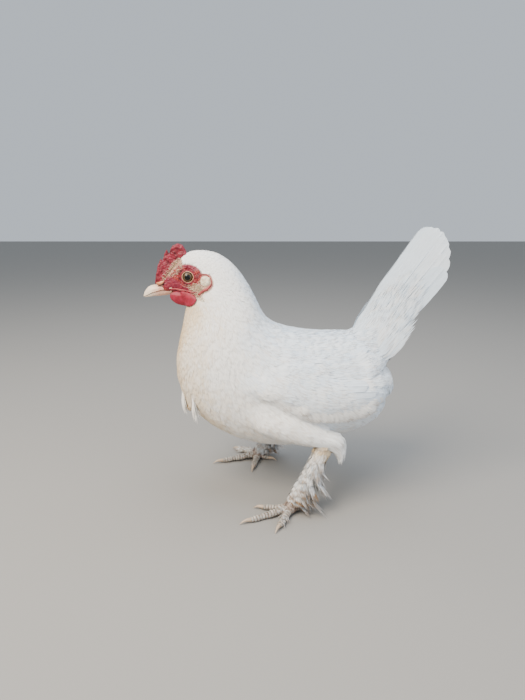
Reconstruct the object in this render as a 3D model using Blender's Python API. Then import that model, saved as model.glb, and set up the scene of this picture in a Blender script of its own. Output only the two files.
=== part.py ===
"""Booted bantam hen, standing, as a life-size still model.

The bird faces -X with its left side towards -Y and the floor at Z = 0. Every size below is in
millimetres, and a mesh is scaled to metres as it is made.
"""
import math
import random

import bmesh
import bpy
from mathutils import Matrix, Vector

MM = 0.001
GAP = 0.3
SIDES = {"left": -1, "right": 1}

# Trunk, from the rump to the beak's root: back point (x, z), belly point (x, z), half width.
TRUNK = (
    (84, 106, 83, 97, 9),
    (80.5, 127, 79, 84, 28),
    (65, 147, 66, 69, 39),
    (42, 156, 42, 60, 46),
    (12, 156, 10, 50, 50),
    (-14, 160, -20, 46, 49.5),
    (-29, 165, -56, 51, 48),
    (-37, 172.5, -91, 69, 45.5),
    (-43, 185, -113, 95, 41),
    (-49, 197, -119, 124, 34),
    (-56, 208, -114.5, 150, 27),
    (-65, 219, -109.5, 171, 21.5),
    (-76, 227, -107.5, 182, 17.4),
    (-90, 230.5, -110.5, 187, 14.2),
    (-103, 229.5, -114.5, 189, 12.2),
    (-112, 223.5, -119, 191, 10.2),
    (-119.5, 214.5, -123.5, 192, 8.2),
    (-129, 203.5, -128.5, 190.5, 6.4),
)
TRUNK_SIDES = 24
TRUNK_FULLNESS = 0.93
NECK_START = 8.6
HEAD_START = 12.0
TORSO_ROWS, NECK_ROWS, HEAD_ROWS = 14, 5, 12

# Head furniture.
EYE = (-103.7, 10.1, 208.2)
EYE_RADIUS = 6.0
LID_RADII = (5.6, 5.1)
LID_THICKNESS = 1.15
LID_STAND = 3.4
NOSTRIL_FLAP = (-132.3, 4.3, 199.6)
NOSTRIL_RADII = (3.1, 1.5, 1.5)
NOSTRIL_SLIT_OFFSET = (-0.5, 1.3, -1.15)
NOSTRIL_SLIT_RADII = (2.4, 1.5, 0.42)
NOSTRIL_SLOPE = math.radians(33)
CULMEN = ((-129.4, 203.2), (-136, 200), (-141.4, 197.8), (-145.3, 192.8), (-146.4, 188.9))
MOUTH_LINE = ((-129.4, 192.7), (-136, 191.3), (-141.4, 190.2), (-144.8, 189.2), (-146.2, 188.5))
JAW_LINE = ((-129.4, 189.9), (-136, 188.6), (-140.5, 188), (-143.4, 188), (-145, 188.1))
BEAK_HALF_WIDTHS = (6.2, 5.2, 3.9, 2.2, 0.7)
GAPE = (-120.3, 195.0)
COMB_OUTLINE = (
    (-136.2, 200), (-134.6, 208), (-132.2, 217), (-129.8, 223), (-127.8, 220.6), (-126.4, 226.5),
    (-123.7, 231.2), (-121.7, 226.6), (-120.3, 231), (-118, 234.6), (-113.8, 236.6), (-109.6, 235.4),
    (-107.6, 231.6), (-106.4, 227), (-108, 222), (-115, 213), (-122, 204), (-129, 198),
)
COMB_HALF_THICKNESS = 1.9
WATTLE_CENTRE = (-109.3, 7.2, 189.3)
WATTLE_RADII = (12.0, 2.6, 7.6)
LOBE_CENTRE = (-88.4, 16.2, 202.6)
LOBE_RADII = (6.6, 2.6, 8.6)

# Tufts that hang from the breast: place of the first (x, z), slant, root y, root to tip, half width.
TUFT_ORIGIN = (-113.0, 99.0)
TUFT_SLANT = math.radians(12)
TUFTS = ((-27, 21), (-17, 24), (-8, 26), (1, 23), (10, 25), (19, 22), (28, 20))
TUFT_HALF_WIDTH = 4.2
TUFT_BOW = 0.0085

# Wing: a bowed sheet against the body's side. Vanes are laid on it by tiers like roof tiles.
WING_REACH = 58.8
WING_MIDDLE = (-10, 100)
WING_BOW = (0.0020, 0.0093)
WING_CORE_DEPTH = 3.4
WING_ROOT_DEPTH = 15.0
WING_FRONT, WING_REAR = -54.0, 44.0
WING_UPPER = ((-54, 134), (-34, 147), (0, 150), (30, 147), (46, 139))
WING_LOWER = ((-54, 117), (-34, 106), (0, 95.5), (30, 93), (46, 104))
# Tier: vane count, root x, tip x, lowest and highest root z, lowest and highest tip z, half width,
# slope outwards along the vane, depth of the tips.
WING_TIERS = {
    "primaries": (4, 20, 72, 103, 122, 111, 127, 5.4, 0.10, 3.6),
    "secondaries": (8, 4, 62, 96, 143, 97, 138, 6.4, 0.15, 0.0),
    "greater_coverts": (8, -18, 17, 96, 144.5, 96, 144, 6.4, 0.15, 0.0),
    "median_coverts": (6, -38, -8, 105, 143, 103, 143.5, 6.8, 0.15, 0.0),
    "lesser_coverts": (4, -53, -29, 115, 138, 112, 139, 6.8, 0.15, 0.0),
}
WING_TILT = 0.17
WING_ROOT_SINK = 4.9

# Tail: two sheets that meet at a ridge like a tent. Chart a runs along the feathers, b from the
# ridge towards the rear edge.
TAIL_ORIGIN = (44.6, 163.6)
TAIL_RISE = math.radians(56)
TAIL_TENT = math.radians(25)
TAIL_RIDGE_GAP = 1.2
TAIL_TIPS = (109, 111, 110.5, 108.5, 104.5, 98, 89)
TAIL_HALF_WIDTH = 8.4
TAIL_CORE = ((-14, -1, 52, 23), (8, -1, 52, 20.5), (25, 1, 48, 16), (38, 5, 43, 11), (50, 13, 36, 5.5))

# Legs. A toe's angle turns from straight ahead towards the left side.
KNEE = (-46, 34, 88)
THIGH_RADII = ((13, 11), (17.5, 15.5), (15.5, 15), (11, 11), (8, 7.8), (6.4, 6.4))
LEGS = {
    "left": {"hock": (15, 46, 54), "ball": (-12, 55, 6.4),
             "toes": {"middle": 24, "inner": -10, "outer": 66, "hallux": 203}},
    "right": {"hock": (-16, 45, 54), "ball": (-43, 54, 6.4),
              "toes": {"middle": 17, "inner": 80, "outer": -38, "hallux": 157}},
}
SHANK = ((-0.09, 3.4), (-0.05, 5.6), (0.02, 6.6), (0.12, 5.6), (0.3, 4.7), (0.6, 4.6), (0.82, 5.3), (1.0, 6.2))
# A brush of vanes: radius it stands on, (start, length) of each tier, turns round its axis in degrees,
# half width of a vane, flare outwards along it, tilt of its edges.
HOCK_BRUSH = (8.4, ((-4, 35), (5, 36)), (-60, -22, 16, 54, 92), 5.4, 0.23, 0.2)
BOOT_BRUSH = (4.6, ((9, 21), (17, 23), (25, 22), (33, 14)), (-34, 6, 46, 86), 4.4, 0.74, 0.22)
TOE_BRUSH = (3.0, ((5, 13), (12, 12)), (-40, 15, 70), 2.5, 0.34, 0.2)
HOCK_VANE_SLANT = math.radians(51)
HOCK_BRUSH_PLACE = 0.66
BRUSH_SINK = 1.7
BRUSH_SPREAD = 5.5
TOE_LENGTHS = {"middle": 41.0, "inner": 27.0, "outer": 29.0, "hallux": 15.0}
TOE_ROOT_RADIUS = {"middle": 4.3, "inner": 3.9, "outer": 3.9, "hallux": 3.4}
TOE_TIP_RADIUS = 2.6
TOE_HEIGHT = 0.8
TOE_PADS = {"middle": 3, "inner": 2, "outer": 3, "hallux": 1}
CLAW_LENGTHS = {"middle": 10.0, "inner": 8.5, "outer": 8.5, "hallux": 8.0}

VANE_THICKNESS = 0.6
VANE_WANDER = 0.35
FLIGHT_ROWS = ((0.0, 0.55), (0.32, 0.95), (0.68, 1.0), (0.9, 0.78), (1.0, 0.3))
COVERT_ROWS = ((0.0, 0.7), (0.5, 1.0), (0.85, 0.8), (1.0, 0.3))

COLOURS = {
    "white_feather": ((0.80, 0.80, 0.77), 0.75),
    "cream_feather": ((0.76, 0.70, 0.60), 0.78),
    "red_skin": ((0.55, 0.04, 0.05), 0.5),
    "cream_skin": ((0.72, 0.60, 0.50), 0.6),
    "horn": ((0.72, 0.58, 0.48), 0.4),
    "claw_horn": ((0.55, 0.45, 0.36), 0.45),
    "iris": ((0.10, 0.06, 0.02), 0.08),
    "toe_skin": ((0.55, 0.47, 0.42), 0.65),
}


def clear_scene():
    for item in list(bpy.data.objects):
        bpy.data.objects.remove(item, do_unlink=True)


def material(name):
    colour, roughness = COLOURS[name]
    made = bpy.data.materials.get(name) or bpy.data.materials.new(name)
    made.use_nodes = True
    shader = made.node_tree.nodes["Principled BSDF"]
    shader.inputs["Base Color"].default_value = (*colour, 1.0)
    shader.inputs["Roughness"].default_value = roughness
    shader.inputs["Metallic"].default_value = 0.0
    return made


def new_object(name, points, faces, colour="white_feather"):
    """One closed mesh from points in millimetres, with its faces turned outwards."""
    mesh = bpy.data.meshes.new(name)
    mesh.from_pydata([Vector(point) * MM for point in points], [], faces)
    shape = bmesh.new()
    shape.from_mesh(mesh)
    bmesh.ops.recalc_face_normals(shape, faces=shape.faces)
    bmesh.ops.triangulate(shape, faces=shape.faces)
    shape.to_mesh(mesh)
    shape.free()
    mesh.materials.append(material(colour))
    item = bpy.data.objects.new(name, mesh)
    bpy.context.scene.collection.objects.link(item)
    return item


def on_curve(keys, place):
    """The point at a place on the smooth curve through the keys, the first key at 0."""
    first = min(int(place), len(keys) - 2)
    t = place - first
    around = [keys[min(max(first + step, 0), len(keys) - 1)] for step in (-1, 0, 1, 2)]
    return tuple(
        b + 0.5 * t * (c - a + t * (2 * a - 5 * b + 4 * c - d + t * (3 * b - a - 3 * c + d)))
        for a, b, c, d in zip(*around)
    )


def along(keys, fraction):
    return on_curve(keys, fraction * (len(keys) - 1))


def loft(name, rings, colour="white_feather"):
    """A closed skin over rings of points, with a flat face at each end."""
    count = len(rings[0])
    points = [point for ring in rings for point in ring]
    faces = []
    for row in range(len(rings) - 1):
        for side in range(count):
            near, far = row * count + side, row * count + (side + 1) % count
            faces.append((near, far, far + count, near + count))
    faces.append(tuple(range(count)))
    faces.append(tuple(range(len(points) - count, len(points))))
    return new_object(name, points, faces, colour)


def rounded(value, power):
    return math.copysign(abs(value) ** power, value)


def oval_ring(centre, rise, across, count, power=1.0, first=0.0):
    """Corners round an oval, the first one a share of a step past its top."""
    ring = []
    for side in range(count):
        turn = 2 * math.pi * (side + first) / count
        up, out = rounded(math.cos(turn), power), rounded(math.sin(turn), power)
        ring.append(Vector(centre) + Vector(rise) * up + Vector(across) * out)
    return ring


def trunk_ring(place, shift=0.0):
    """The trunk's section at a place along its keys, moved along the trunk by the shift."""
    back_x, back_z, belly_x, belly_z, half_width = on_curve(TRUNK, place)
    back, belly = Vector((back_x, 0, back_z)), Vector((belly_x, 0, belly_z))
    rise = (back - belly) / 2
    forward = Vector((-rise.z, 0, rise.x)).normalized()
    centre = (back + belly) / 2 + forward * shift
    return oval_ring(centre, rise, (0, half_width, 0), TRUNK_SIDES, TRUNK_FULLNESS)


def trunk_length(name, start, end, rows, shift=0.0):
    places = [start + (end - start) * row / rows for row in range(rows + 1)]
    rings = [trunk_ring(place) for place in places]
    rings[0] = trunk_ring(start, shift)
    return loft(name, rings)


def path_rings(path, radii, count, first=0.0):
    """Round rings along a path, each square to it. Radii are (up, across) pairs."""
    rings = []
    for step, (place, (high, wide)) in enumerate(zip(path, radii)):
        before, after = path[max(step - 1, 0)], path[min(step + 1, len(path) - 1)]
        heading = (Vector(after) - Vector(before)).normalized()
        across = heading.cross(Vector((0, 0, 1)))
        across.normalize()
        rise = across.cross(heading) * high
        rings.append(oval_ring(place, rise, across * wide, count, 1.0, first))
    return rings


def ball(name, centre, radii, colour, segments=12, rings=8, turn=None):
    """A squashed ball of the given radii."""
    shape = bmesh.new()
    bmesh.ops.create_uvsphere(shape, u_segments=segments, v_segments=rings, radius=1.0)
    place = Matrix.Translation(Vector(centre)) @ (turn or Matrix.Identity(4))
    shape.transform(place @ Matrix.Diagonal((*radii, 1.0)))
    points = [vertex.co.copy() for vertex in shape.verts]
    faces = [tuple(vertex.index for vertex in face.verts) for face in shape.faces]
    shape.free()
    return new_object(name, points, faces, colour)


def ring_pad(name, centre, radii, thickness, side, segments=14, sides=4):
    """A rounded oval ring that stands round the eye, facing outwards and a little forwards."""
    points, faces = [], []
    for step in range(segments):
        turn = 2 * math.pi * step / segments
        out = Vector((math.cos(turn) * radii[0], 0, math.sin(turn) * radii[1]))
        for corner in range(sides):
            roll = 2 * math.pi * corner / sides
            point = out * (1 + math.cos(roll) * thickness / radii[0])
            lean = 0.16 * out.x
            depth = math.sin(roll) * thickness * 1.3 + lean
            points.append(Vector(centre) + point + Vector((0, depth * side, 0)))
            nxt = (step + 1) % segments
            here, there = step * sides, nxt * sides
            up = (corner + 1) % sides
            faces.append((here + corner, here + up, there + up, there + corner))
    return new_object(name, points, faces, "red_skin")


def vane(chart, root, tip, half_width, lift, rows=FLIGHT_ROWS, tilt=0.0):
    """One feather on a chart: a thin blade with a rounded tip.

    The chart turns (a, b, lift) into a place. The tilt lifts one edge over its neighbour. Both
    faces are split along the same diagonals, so that the blade never crosses itself.
    """
    wander = Vector((random.uniform(-1, 1), random.uniform(-1, 1) * 0.5)) * VANE_WANDER
    root, tip = Vector(root) + wander, Vector(tip) - wander
    heading = (tip - root).normalized()
    across = Vector((-heading.y, heading.x))
    tops, lows = [], []
    for part, share in rows:
        middle = root.lerp(tip, part)
        for edge in (-1, 1):
            spot = middle + across * (edge * half_width * share)
            height = lift(spot.x) - tilt * (spot.y - middle.y)
            tops.append(chart(spot.x, spot.y, height))
            lows.append(chart(spot.x, spot.y, height - VANE_THICKNESS))
    count = len(tops)
    faces = []
    for a in range(0, count - 2, 2):
        b, c, d = a + 1, a + 3, a + 2
        faces += [(a, b, c), (a, c, d)]
        faces += [(count + a, count + c, count + b), (count + a, count + d, count + c)]
        for near, far in ((a, d), (b, c)):
            faces += [(near, far, count + far), (near, count + far, count + near)]
    for a in (0, count - 2):
        faces += [(a, a + 1, count + a + 1), (a, count + a + 1, count + a)]
    return new_object("vane", tops + lows, faces)


def apply_modifiers(item):
    """Puts the evaluated mesh in place of the item's own, and drops its modifiers."""
    evaluated = item.evaluated_get(bpy.context.evaluated_depsgraph_get())
    mesh = bpy.data.meshes.new_from_object(evaluated)
    item.modifiers.clear()
    item.data = mesh


def islands(shape):
    """The sets of faces that hang together by edges."""
    left, found = set(shape.faces), []
    while left:
        queue = [left.pop()]
        island = set(queue)
        while queue:
            for edge in queue.pop().edges:
                for face in edge.link_faces:
                    if face in left:
                        left.remove(face)
                        island.add(face)
                        queue.append(face)
        found.append(island)
    return found


def volume_within(faces):
    volume = 0.0
    for face in faces:
        corners = [vertex.co for vertex in face.verts]
        for second, third in zip(corners[1:], corners[2:]):
            volume += corners[0].dot(second.cross(third)) / 6
    return volume


def keep_largest(item):
    """Keeps the surface with the most volume. Gives that volume, or 0 where the mesh is open."""
    shape = bmesh.new()
    shape.from_mesh(item.data)
    best = max(islands(shape), key=volume_within, default=set())
    dropped = [face for face in shape.faces if face not in best]
    bmesh.ops.delete(shape, geom=dropped, context="FACES")
    closed = all(len(edge.link_faces) == 2 for edge in shape.edges)
    volume = volume_within(shape.faces) if closed else 0.0
    shape.to_mesh(item.data)
    shape.free()
    return volume


def boolean(item, operation, source, least_share):
    """One Boolean: exact, or by the manifold solver where that leaves an open or lost mesh."""
    before = item.data.copy()
    least = keep_largest(item) * least_share
    for solver in ("EXACT", "MANIFOLD"):
        item.data = before.copy()
        step = item.modifiers.new(operation.lower(), "BOOLEAN")
        step.operation = operation
        step.solver = solver
        if isinstance(source, bpy.types.Collection):
            step.operand_type = "COLLECTION"
            step.collection = source
        else:
            step.object = source
        apply_modifiers(item)
        if keep_largest(item) > least:
            return
    raise RuntimeError(f"{item.name}: no solver closed its {operation.lower()}")


def fuse(core, pieces):
    """Joins the pieces to the core with one union on a collection."""
    group = bpy.data.collections.new("pieces")
    for piece in pieces:
        bpy.context.scene.collection.objects.unlink(piece)
        group.objects.link(piece)
    bpy.context.scene.collection.children.link(group)
    boolean(core, "UNION", group, 1.0)
    for piece in pieces:
        bpy.data.objects.remove(piece, do_unlink=True)
    bpy.data.collections.remove(group)
    return core


def cut(item, cutters):
    """Takes the cutters out of the item and removes them."""
    for cutter in cutters:
        cutter.hide_render = True
        cutter.display_type = "WIRE"
        boolean(item, "DIFFERENCE", cutter, 0.02)
        bpy.data.objects.remove(cutter, do_unlink=True)
    return item


def grown(item, distance=GAP):
    """A copy of the item whose surface stands out by the distance."""
    mesh = item.data.copy()
    normals = [vertex.normal.copy() for vertex in mesh.vertices]
    for vertex, normal in zip(mesh.vertices, normals):
        vertex.co += normal * distance * MM
    copy = bpy.data.objects.new("grown", mesh)
    bpy.context.scene.collection.objects.link(copy)
    return copy


def fit_against(item, *carriers):
    """Cuts the item clear of what it sits on, so that they meet face to face."""
    return cut(item, [grown(carrier) for carrier in carriers])


def tuft_chart(a, b, lift):
    """Chart of the breast's lowest front: a runs down, b across to the left."""
    down = Vector((math.sin(TUFT_SLANT), 0, -math.cos(TUFT_SLANT)))
    out = Vector((-math.cos(TUFT_SLANT), 0, -math.sin(TUFT_SLANT)))
    origin = Vector((TUFT_ORIGIN[0], -b, TUFT_ORIGIN[1]))
    return origin + down * a + out * (lift - TUFT_BOW * b ** 2)


def make_torso():
    torso = trunk_length("torso", 0, NECK_START, TORSO_ROWS)
    tufts = []
    for across, reach in TUFTS:
        ends = (0, across), (reach, across)
        tufts.append(vane(tuft_chart, *ends, TUFT_HALF_WIDTH, lambda a: 0.1 * a - 2.2, COVERT_ROWS))
    return fuse(torso, tufts)


def make_neck():
    return trunk_length("neck", NECK_START, HEAD_START, NECK_ROWS, shift=GAP)


def mouth_slot():
    """The cutter for the line of the mouth behind the beak, up to the gape."""
    front, height = -131.0, 0.35
    wide = 20.0
    start = along(MOUTH_LINE, 0.0)[1]
    points = []
    for x, z in ((front, start), GAPE):
        for rise in (-height, height):
            for y in (-wide, wide):
                points.append((x, y, z + rise))
    faces = [(0, 1, 3, 2), (4, 6, 7, 5), (0, 4, 5, 1), (2, 3, 7, 6), (0, 2, 6, 4), (1, 5, 7, 3)]
    return new_object("mouth", points, faces)


def make_head(eyes):
    head = trunk_length("head", HEAD_START, len(TRUNK) - 1, HEAD_ROWS, shift=GAP)
    lids = []
    for side in SIDES.values():
        centre = (EYE[0], side * (EYE[1] + LID_STAND), EYE[2])
        lids.append(ring_pad("lid", centre, LID_RADII, LID_THICKNESS, side))
    fuse(head, lids)
    return cut(head, [mouth_slot()] + [grown(eye) for eye in eyes])


def make_eye(name, side):
    return ball(f"eye_{name}", (EYE[0], side * EYE[1], EYE[2]), (EYE_RADIUS,) * 3, "iris", 14, 9)


def beak_half(name, upper, lower, shift, flatness):
    """Half of the beak, between an upper and a lower line seen from the side."""
    rings = []
    rows = 8
    for row in range(rows + 1):
        part = row / rows
        high, low = along(upper, part), along(lower, part)
        wide = along(tuple((value,) for value in BEAK_HALF_WIDTHS), part)[0] * flatness
        top, base = Vector((high[0] - shift, 0, high[1])), Vector((low[0] - shift, 0, low[1]))
        ring = []
        for step in range(10):
            turn = math.pi * step / 9
            out = rounded(math.sin(turn - math.pi / 2), 0.9)
            up = math.cos(turn - math.pi / 2) ** 0.8
            ring.append(base + (top - base) * up + Vector((0, wide * out, 0)))
        rings.append(ring)
    return loft(name, rings, "horn")


def add_nostril(beak, side):
    """A flap over each nostril, with the open slit under it."""
    turn = Matrix.Rotation(-NOSTRIL_SLOPE, 4, "Y")
    place = Vector((NOSTRIL_FLAP[0], side * NOSTRIL_FLAP[1], NOSTRIL_FLAP[2]))
    fuse(beak, [ball("flap", place, NOSTRIL_RADII, "horn", 8, 5, turn)])
    ahead, out, down = NOSTRIL_SLIT_OFFSET
    slit_place = place + Vector((ahead, side * out, down))
    cut(beak, [ball("slit", slit_place, NOSTRIL_SLIT_RADII, "horn", 6, 4, turn)])


def make_beak():
    upper = beak_half("beak_upper", CULMEN, MOUTH_LINE, GAP, 1.0)
    for side in SIDES.values():
        add_nostril(upper, side)
    lower_top = tuple((x + 0.6, z - GAP) for x, z in MOUTH_LINE)
    lower = beak_half("beak_lower", JAW_LINE, lower_top, GAP + 0.6, 0.86)
    return upper, lower


def make_comb(head, beak):
    """A low single comb: a flat plate with three points and soft edges."""
    shape = bmesh.new()
    points = [(x, -COMB_HALF_THICKNESS, z) for x, z in COMB_OUTLINE]
    face = shape.faces.new([shape.verts.new(Vector(point)) for point in points])
    pushed = bmesh.ops.extrude_face_region(shape, geom=[face])
    moved = [item for item in pushed["geom"] if isinstance(item, bmesh.types.BMVert)]
    bmesh.ops.translate(shape, verts=moved, vec=(0, 2 * COMB_HALF_THICKNESS, 0))
    rims = [edge for edge in shape.edges if len({round(vertex.co.y, 3) for vertex in edge.verts}) == 1]
    bmesh.ops.bevel(shape, geom=rims, offset=1.1, segments=2, profile=0.6, affect="EDGES")
    corners = [vertex.co.copy() for vertex in shape.verts]
    shape.verts.index_update()
    faces = [tuple(vertex.index for vertex in item.verts) for item in shape.faces]
    shape.free()
    comb = new_object("comb", corners, faces, "red_skin")
    return fit_against(comb, head, beak)


def make_wattle(name, side, carriers):
    turn = Matrix.Rotation(math.radians(14), 4, "Y") @ Matrix.Rotation(math.radians(8 * side), 4, "X")
    centre = (WATTLE_CENTRE[0], side * WATTLE_CENTRE[1], WATTLE_CENTRE[2])
    wattle = ball(f"wattle_{name}", centre, WATTLE_RADII, "red_skin", turn=turn)
    return fit_against(wattle, *carriers)


def make_lobe(name, side, carriers):
    turn = Matrix.Rotation(math.radians(-24), 4, "Y")
    centre = (LOBE_CENTRE[0], side * LOBE_CENTRE[1], LOBE_CENTRE[2])
    lobe = ball(f"ear_lobe_{name}", centre, LOBE_RADII, "cream_skin", turn=turn)
    return fit_against(lobe, *carriers)


def wing_chart(side):
    """Chart of the wing's outer sheet: a is x, b is z, and lift stands out from the body."""
    def chart(x, z, lift):
        off_x, off_z = x - WING_MIDDLE[0], z - WING_MIDDLE[1]
        y = WING_REACH - WING_BOW[0] * off_x ** 2 - WING_BOW[1] * off_z ** 2
        normal = Vector((2 * WING_BOW[0] * off_x, 1, 2 * WING_BOW[1] * off_z)).normalized()
        place = Vector((x, y, z)) + normal * lift
        return Vector((place.x, place.y * side, place.z))
    return chart


def edge_height(edge, x):
    """Height of an edge given by (x, z) keys, at x."""
    for (x_0, z_0), (x_1, z_1) in zip(edge, edge[1:]):
        if x <= x_1:
            return z_0 + (z_1 - z_0) * (x - x_0) / (x_1 - x_0)
    return edge[-1][1]


def wing_core(name, side):
    """The fleshy wing under its vanes, rounded towards its edges."""
    chart = wing_chart(side)
    columns, rows, soft_edge = 8, 4, 9.0
    outer, inner, faces = [], [], []
    for column in range(columns + 1):
        x = WING_FRONT + (WING_REAR - WING_FRONT) * column / columns
        low, high = edge_height(WING_LOWER, x), edge_height(WING_UPPER, x)
        for row in range(rows + 1):
            z = low + (high - low) * row / rows
            edge = min(x - WING_FRONT, WING_REAR - x, (z - low), (high - z))
            drop = 4.0 * (1 - min(edge / soft_edge, 1.0)) ** 2
            outer.append(chart(x, z, -WING_CORE_DEPTH - drop))
            inner.append(chart(x, z, -WING_ROOT_DEPTH))
    count, width = len(outer), rows + 1
    for column in range(columns):
        for row in range(rows):
            a = column * width + row
            b, c, d = a + 1, a + width + 1, a + width
            faces += [(a, b, c, d), (count + a, count + d, count + c, count + b)]
    rim = [column * width for column in range(columns + 1)]
    rim += [columns * width + row for row in range(1, rows + 1)]
    rim += [column * width + rows for column in range(columns - 1, -1, -1)]
    rim += [row for row in range(rows - 1, 0, -1)]
    for near, far in zip(rim, rim[1:] + rim[:1]):
        faces.append((near, far, count + far, count + near))
    return new_object(name, outer + inner, faces)


def tier_vanes(chart, tier, tilt):
    """One tier of wing vanes, each lifted over the one below it."""
    count, root_x, tip_x, root_low, root_high, tip_low, tip_high, half, slope, depth = tier
    rows = FLIGHT_ROWS if tip_x - root_x > 45 else COVERT_ROWS

    def lift(x):
        return -min(depth + slope * (tip_x - x), WING_ROOT_SINK)

    vanes = []
    for number in range(count):
        part = number / (count - 1)
        root = (root_x, root_low + (root_high - root_low) * part)
        tip = (tip_x, tip_low + (tip_high - tip_low) * part)
        vanes.append(vane(chart, root, tip, half, lift, rows, tilt))
    return vanes


def make_wing(name, side, torso):
    wing = wing_core(f"wing_{name}", side)
    chart = wing_chart(side)
    vanes = []
    for tier in WING_TIERS.values():
        vanes += tier_vanes(chart, tier, WING_TILT)
    fuse(wing, vanes)
    return fit_against(wing, torso)


def tail_axes(side):
    lengthwise = Vector((math.cos(TAIL_RISE), 0, math.sin(TAIL_RISE)))
    rearward = Vector((math.sin(TAIL_RISE), 0, -math.cos(TAIL_RISE)))
    across = rearward * math.cos(TAIL_TENT) + Vector((0, side * math.sin(TAIL_TENT), 0))
    normal = Vector((0, side * math.cos(TAIL_TENT), 0)) - rearward * math.sin(TAIL_TENT)
    return lengthwise, across, normal


def tail_chart(side):
    """Chart of one side of the tail's tent, slightly bowed across."""
    lengthwise, across, normal = tail_axes(side)
    origin = Vector((TAIL_ORIGIN[0], side * TAIL_RIDGE_GAP, TAIL_ORIGIN[1]))
    bow = 0.0018

    def chart(a, b, lift):
        return origin + lengthwise * a + across * b + normal * (lift - bow * (b - 25) ** 2)
    return chart


def tail_core():
    """The fleshy root of the tail, with flat rings square to its feathers."""
    lengthwise, _, _ = tail_axes(1)
    rearward = Vector((math.sin(TAIL_RISE), 0, -math.cos(TAIL_RISE)))
    origin = Vector((TAIL_ORIGIN[0], 0, TAIL_ORIGIN[1]))
    rings = []
    for a, near, far, half_width in TAIL_CORE:
        centre = origin + lengthwise * a + rearward * (near + far) / 2
        rings.append(oval_ring(centre, rearward * (near - far) / 2, (0, half_width, 0), 14))
    return loft("tail", rings)


def tail_vanes(side):
    """Seven main feathers, the middle ones outermost, and two tiers of coverts over their roots."""
    chart = tail_chart(side)
    vanes = []
    for number, reach in enumerate(TAIL_TIPS):
        sink = 0.45 * number

        def lift(a, sink=sink):
            return -sink - 0.02 * (110 - a)

        root, tip = (18, 7 + 3.9 * number), (reach, 7.5 + 5.5 * number)
        vanes.append(vane(chart, root, tip, TAIL_HALF_WIDTH, lift, FLIGHT_ROWS, -0.12))
    for tip_a, count, rise, spread in ((60, 4, 2.9, 8.4), (40, 3, 5.4, 9.4)):
        for number in range(count):
            sink = 0.35 * number

            def lift(a, rise=rise, sink=sink):
                return rise - sink - 0.02 * (110 - a)

            root = (tip_a - 34, 8 + (spread - 0.6) * number)
            tip = (tip_a - 3 * abs(number - 1), 10 + spread * number)
            vanes.append(vane(chart, root, tip, 7.2, lift, COVERT_ROWS, -0.12))
    return vanes


def make_tail(torso):
    tail = tail_core()
    fit_against(tail, torso)
    return fuse(tail, tail_vanes(-1) + tail_vanes(1))


def leg_point(place, side):
    return Vector((place[0], place[1] * side, place[2]))


def thigh_path(leg, side):
    """From the knee inside the flank down to the hock, sagging a little at first."""
    knee, hock = leg_point(KNEE, side), leg_point(leg["hock"], side)
    path = []
    for step in range(len(THIGH_RADII)):
        part = step / (len(THIGH_RADII) - 1)
        path.append(knee.lerp(hock, part) + Vector((0, 0, 4.5 * math.sin(math.pi * part))))
    return path


def brush(origin, axes, kind):
    """Vanes in tiers round an axis, each tier standing further out over the next one.

    The axes are the way that the vanes point, the middle of the brush and its far side.
    """
    lengthwise, middle, aside = axes
    radius, tiers, turns, half_width, flare, tilt = kind
    spread = radius + BRUSH_SPREAD

    def chart(distance, bow, lift):
        turn = bow / spread
        radial = middle * math.cos(turn) + aside * math.sin(turn)
        return origin + lengthwise * distance + radial * (radius + lift)

    vanes = []
    for start, length in tiers:
        for turn in turns:
            bow = math.radians(turn) * spread

            def lift(distance, start=start):
                return flare * (distance - start) - BRUSH_SINK

            ends = (start, bow), (start + length, bow)
            vanes.append(vane(chart, *ends, half_width, lift, COVERT_ROWS, tilt))
    return vanes


def square_axes(lengthwise, middle, side):
    """The axes of a brush: its middle direction made square to its length, and outwards."""
    middle = (middle - lengthwise * lengthwise.dot(middle)).normalized()
    aside = lengthwise.cross(middle)
    if aside.y * side < 0:
        aside.negate()
    return lengthwise, middle, aside


def hock_vanes(path, side):
    """Stiff feathers that stand back and down behind the hock."""
    lengthwise = Vector((math.sin(HOCK_VANE_SLANT), 0, -math.cos(HOCK_VANE_SLANT)))
    axes = square_axes(lengthwise, Vector((1, 0, 1)), side)
    return brush(Vector(along(path, HOCK_BRUSH_PLACE)), axes, HOCK_BRUSH)


def shank_axes(leg, side):
    hock, ball_centre = leg_point(leg["hock"], side), leg_point(leg["ball"], side)
    lengthwise = (ball_centre - hock).normalized()
    return hock, square_axes(lengthwise, Vector((1, 0, 0)), side)


def make_shank(name, side, leg):
    """The bare shank, from a rounded knob at the hock down to the ball of the foot."""
    hock, (lengthwise, _, _) = shank_axes(leg, side)
    length = (leg_point(leg["ball"], side) - hock).length
    path = [hock + lengthwise * (length * part) for part, _ in SHANK]
    radii = [(radius, radius * 0.92) for _, radius in SHANK]
    return loft(f"shank_{name}", path_rings(path, radii, 10))


def add_boot(shank, leg, side, foot):
    """Foot feathers in tiers down the rear and outer sides of the shank."""
    hock, axes = shank_axes(leg, side)
    fuse(shank, brush(hock, axes, BOOT_BRUSH))
    fit_against(shank, foot)


def make_thigh(name, side, leg, torso, shank):
    path = thigh_path(leg, side)
    thigh = loft(f"thigh_{name}", path_rings(path, THIGH_RADII, 14))
    fuse(thigh, hock_vanes(path, side))
    return fit_against(thigh, shank, torso)


def on_floor(rings):
    """Flattens what would reach below the floor, so that each pad rests on a small flat."""
    return [[Vector((point.x, point.y, max(point.z, 0.0))) for point in ring] for ring in rings]


def toe_heading(angle):
    turn = math.radians(angle)
    return Vector((-math.cos(turn), -math.sin(turn), 0))


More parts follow.
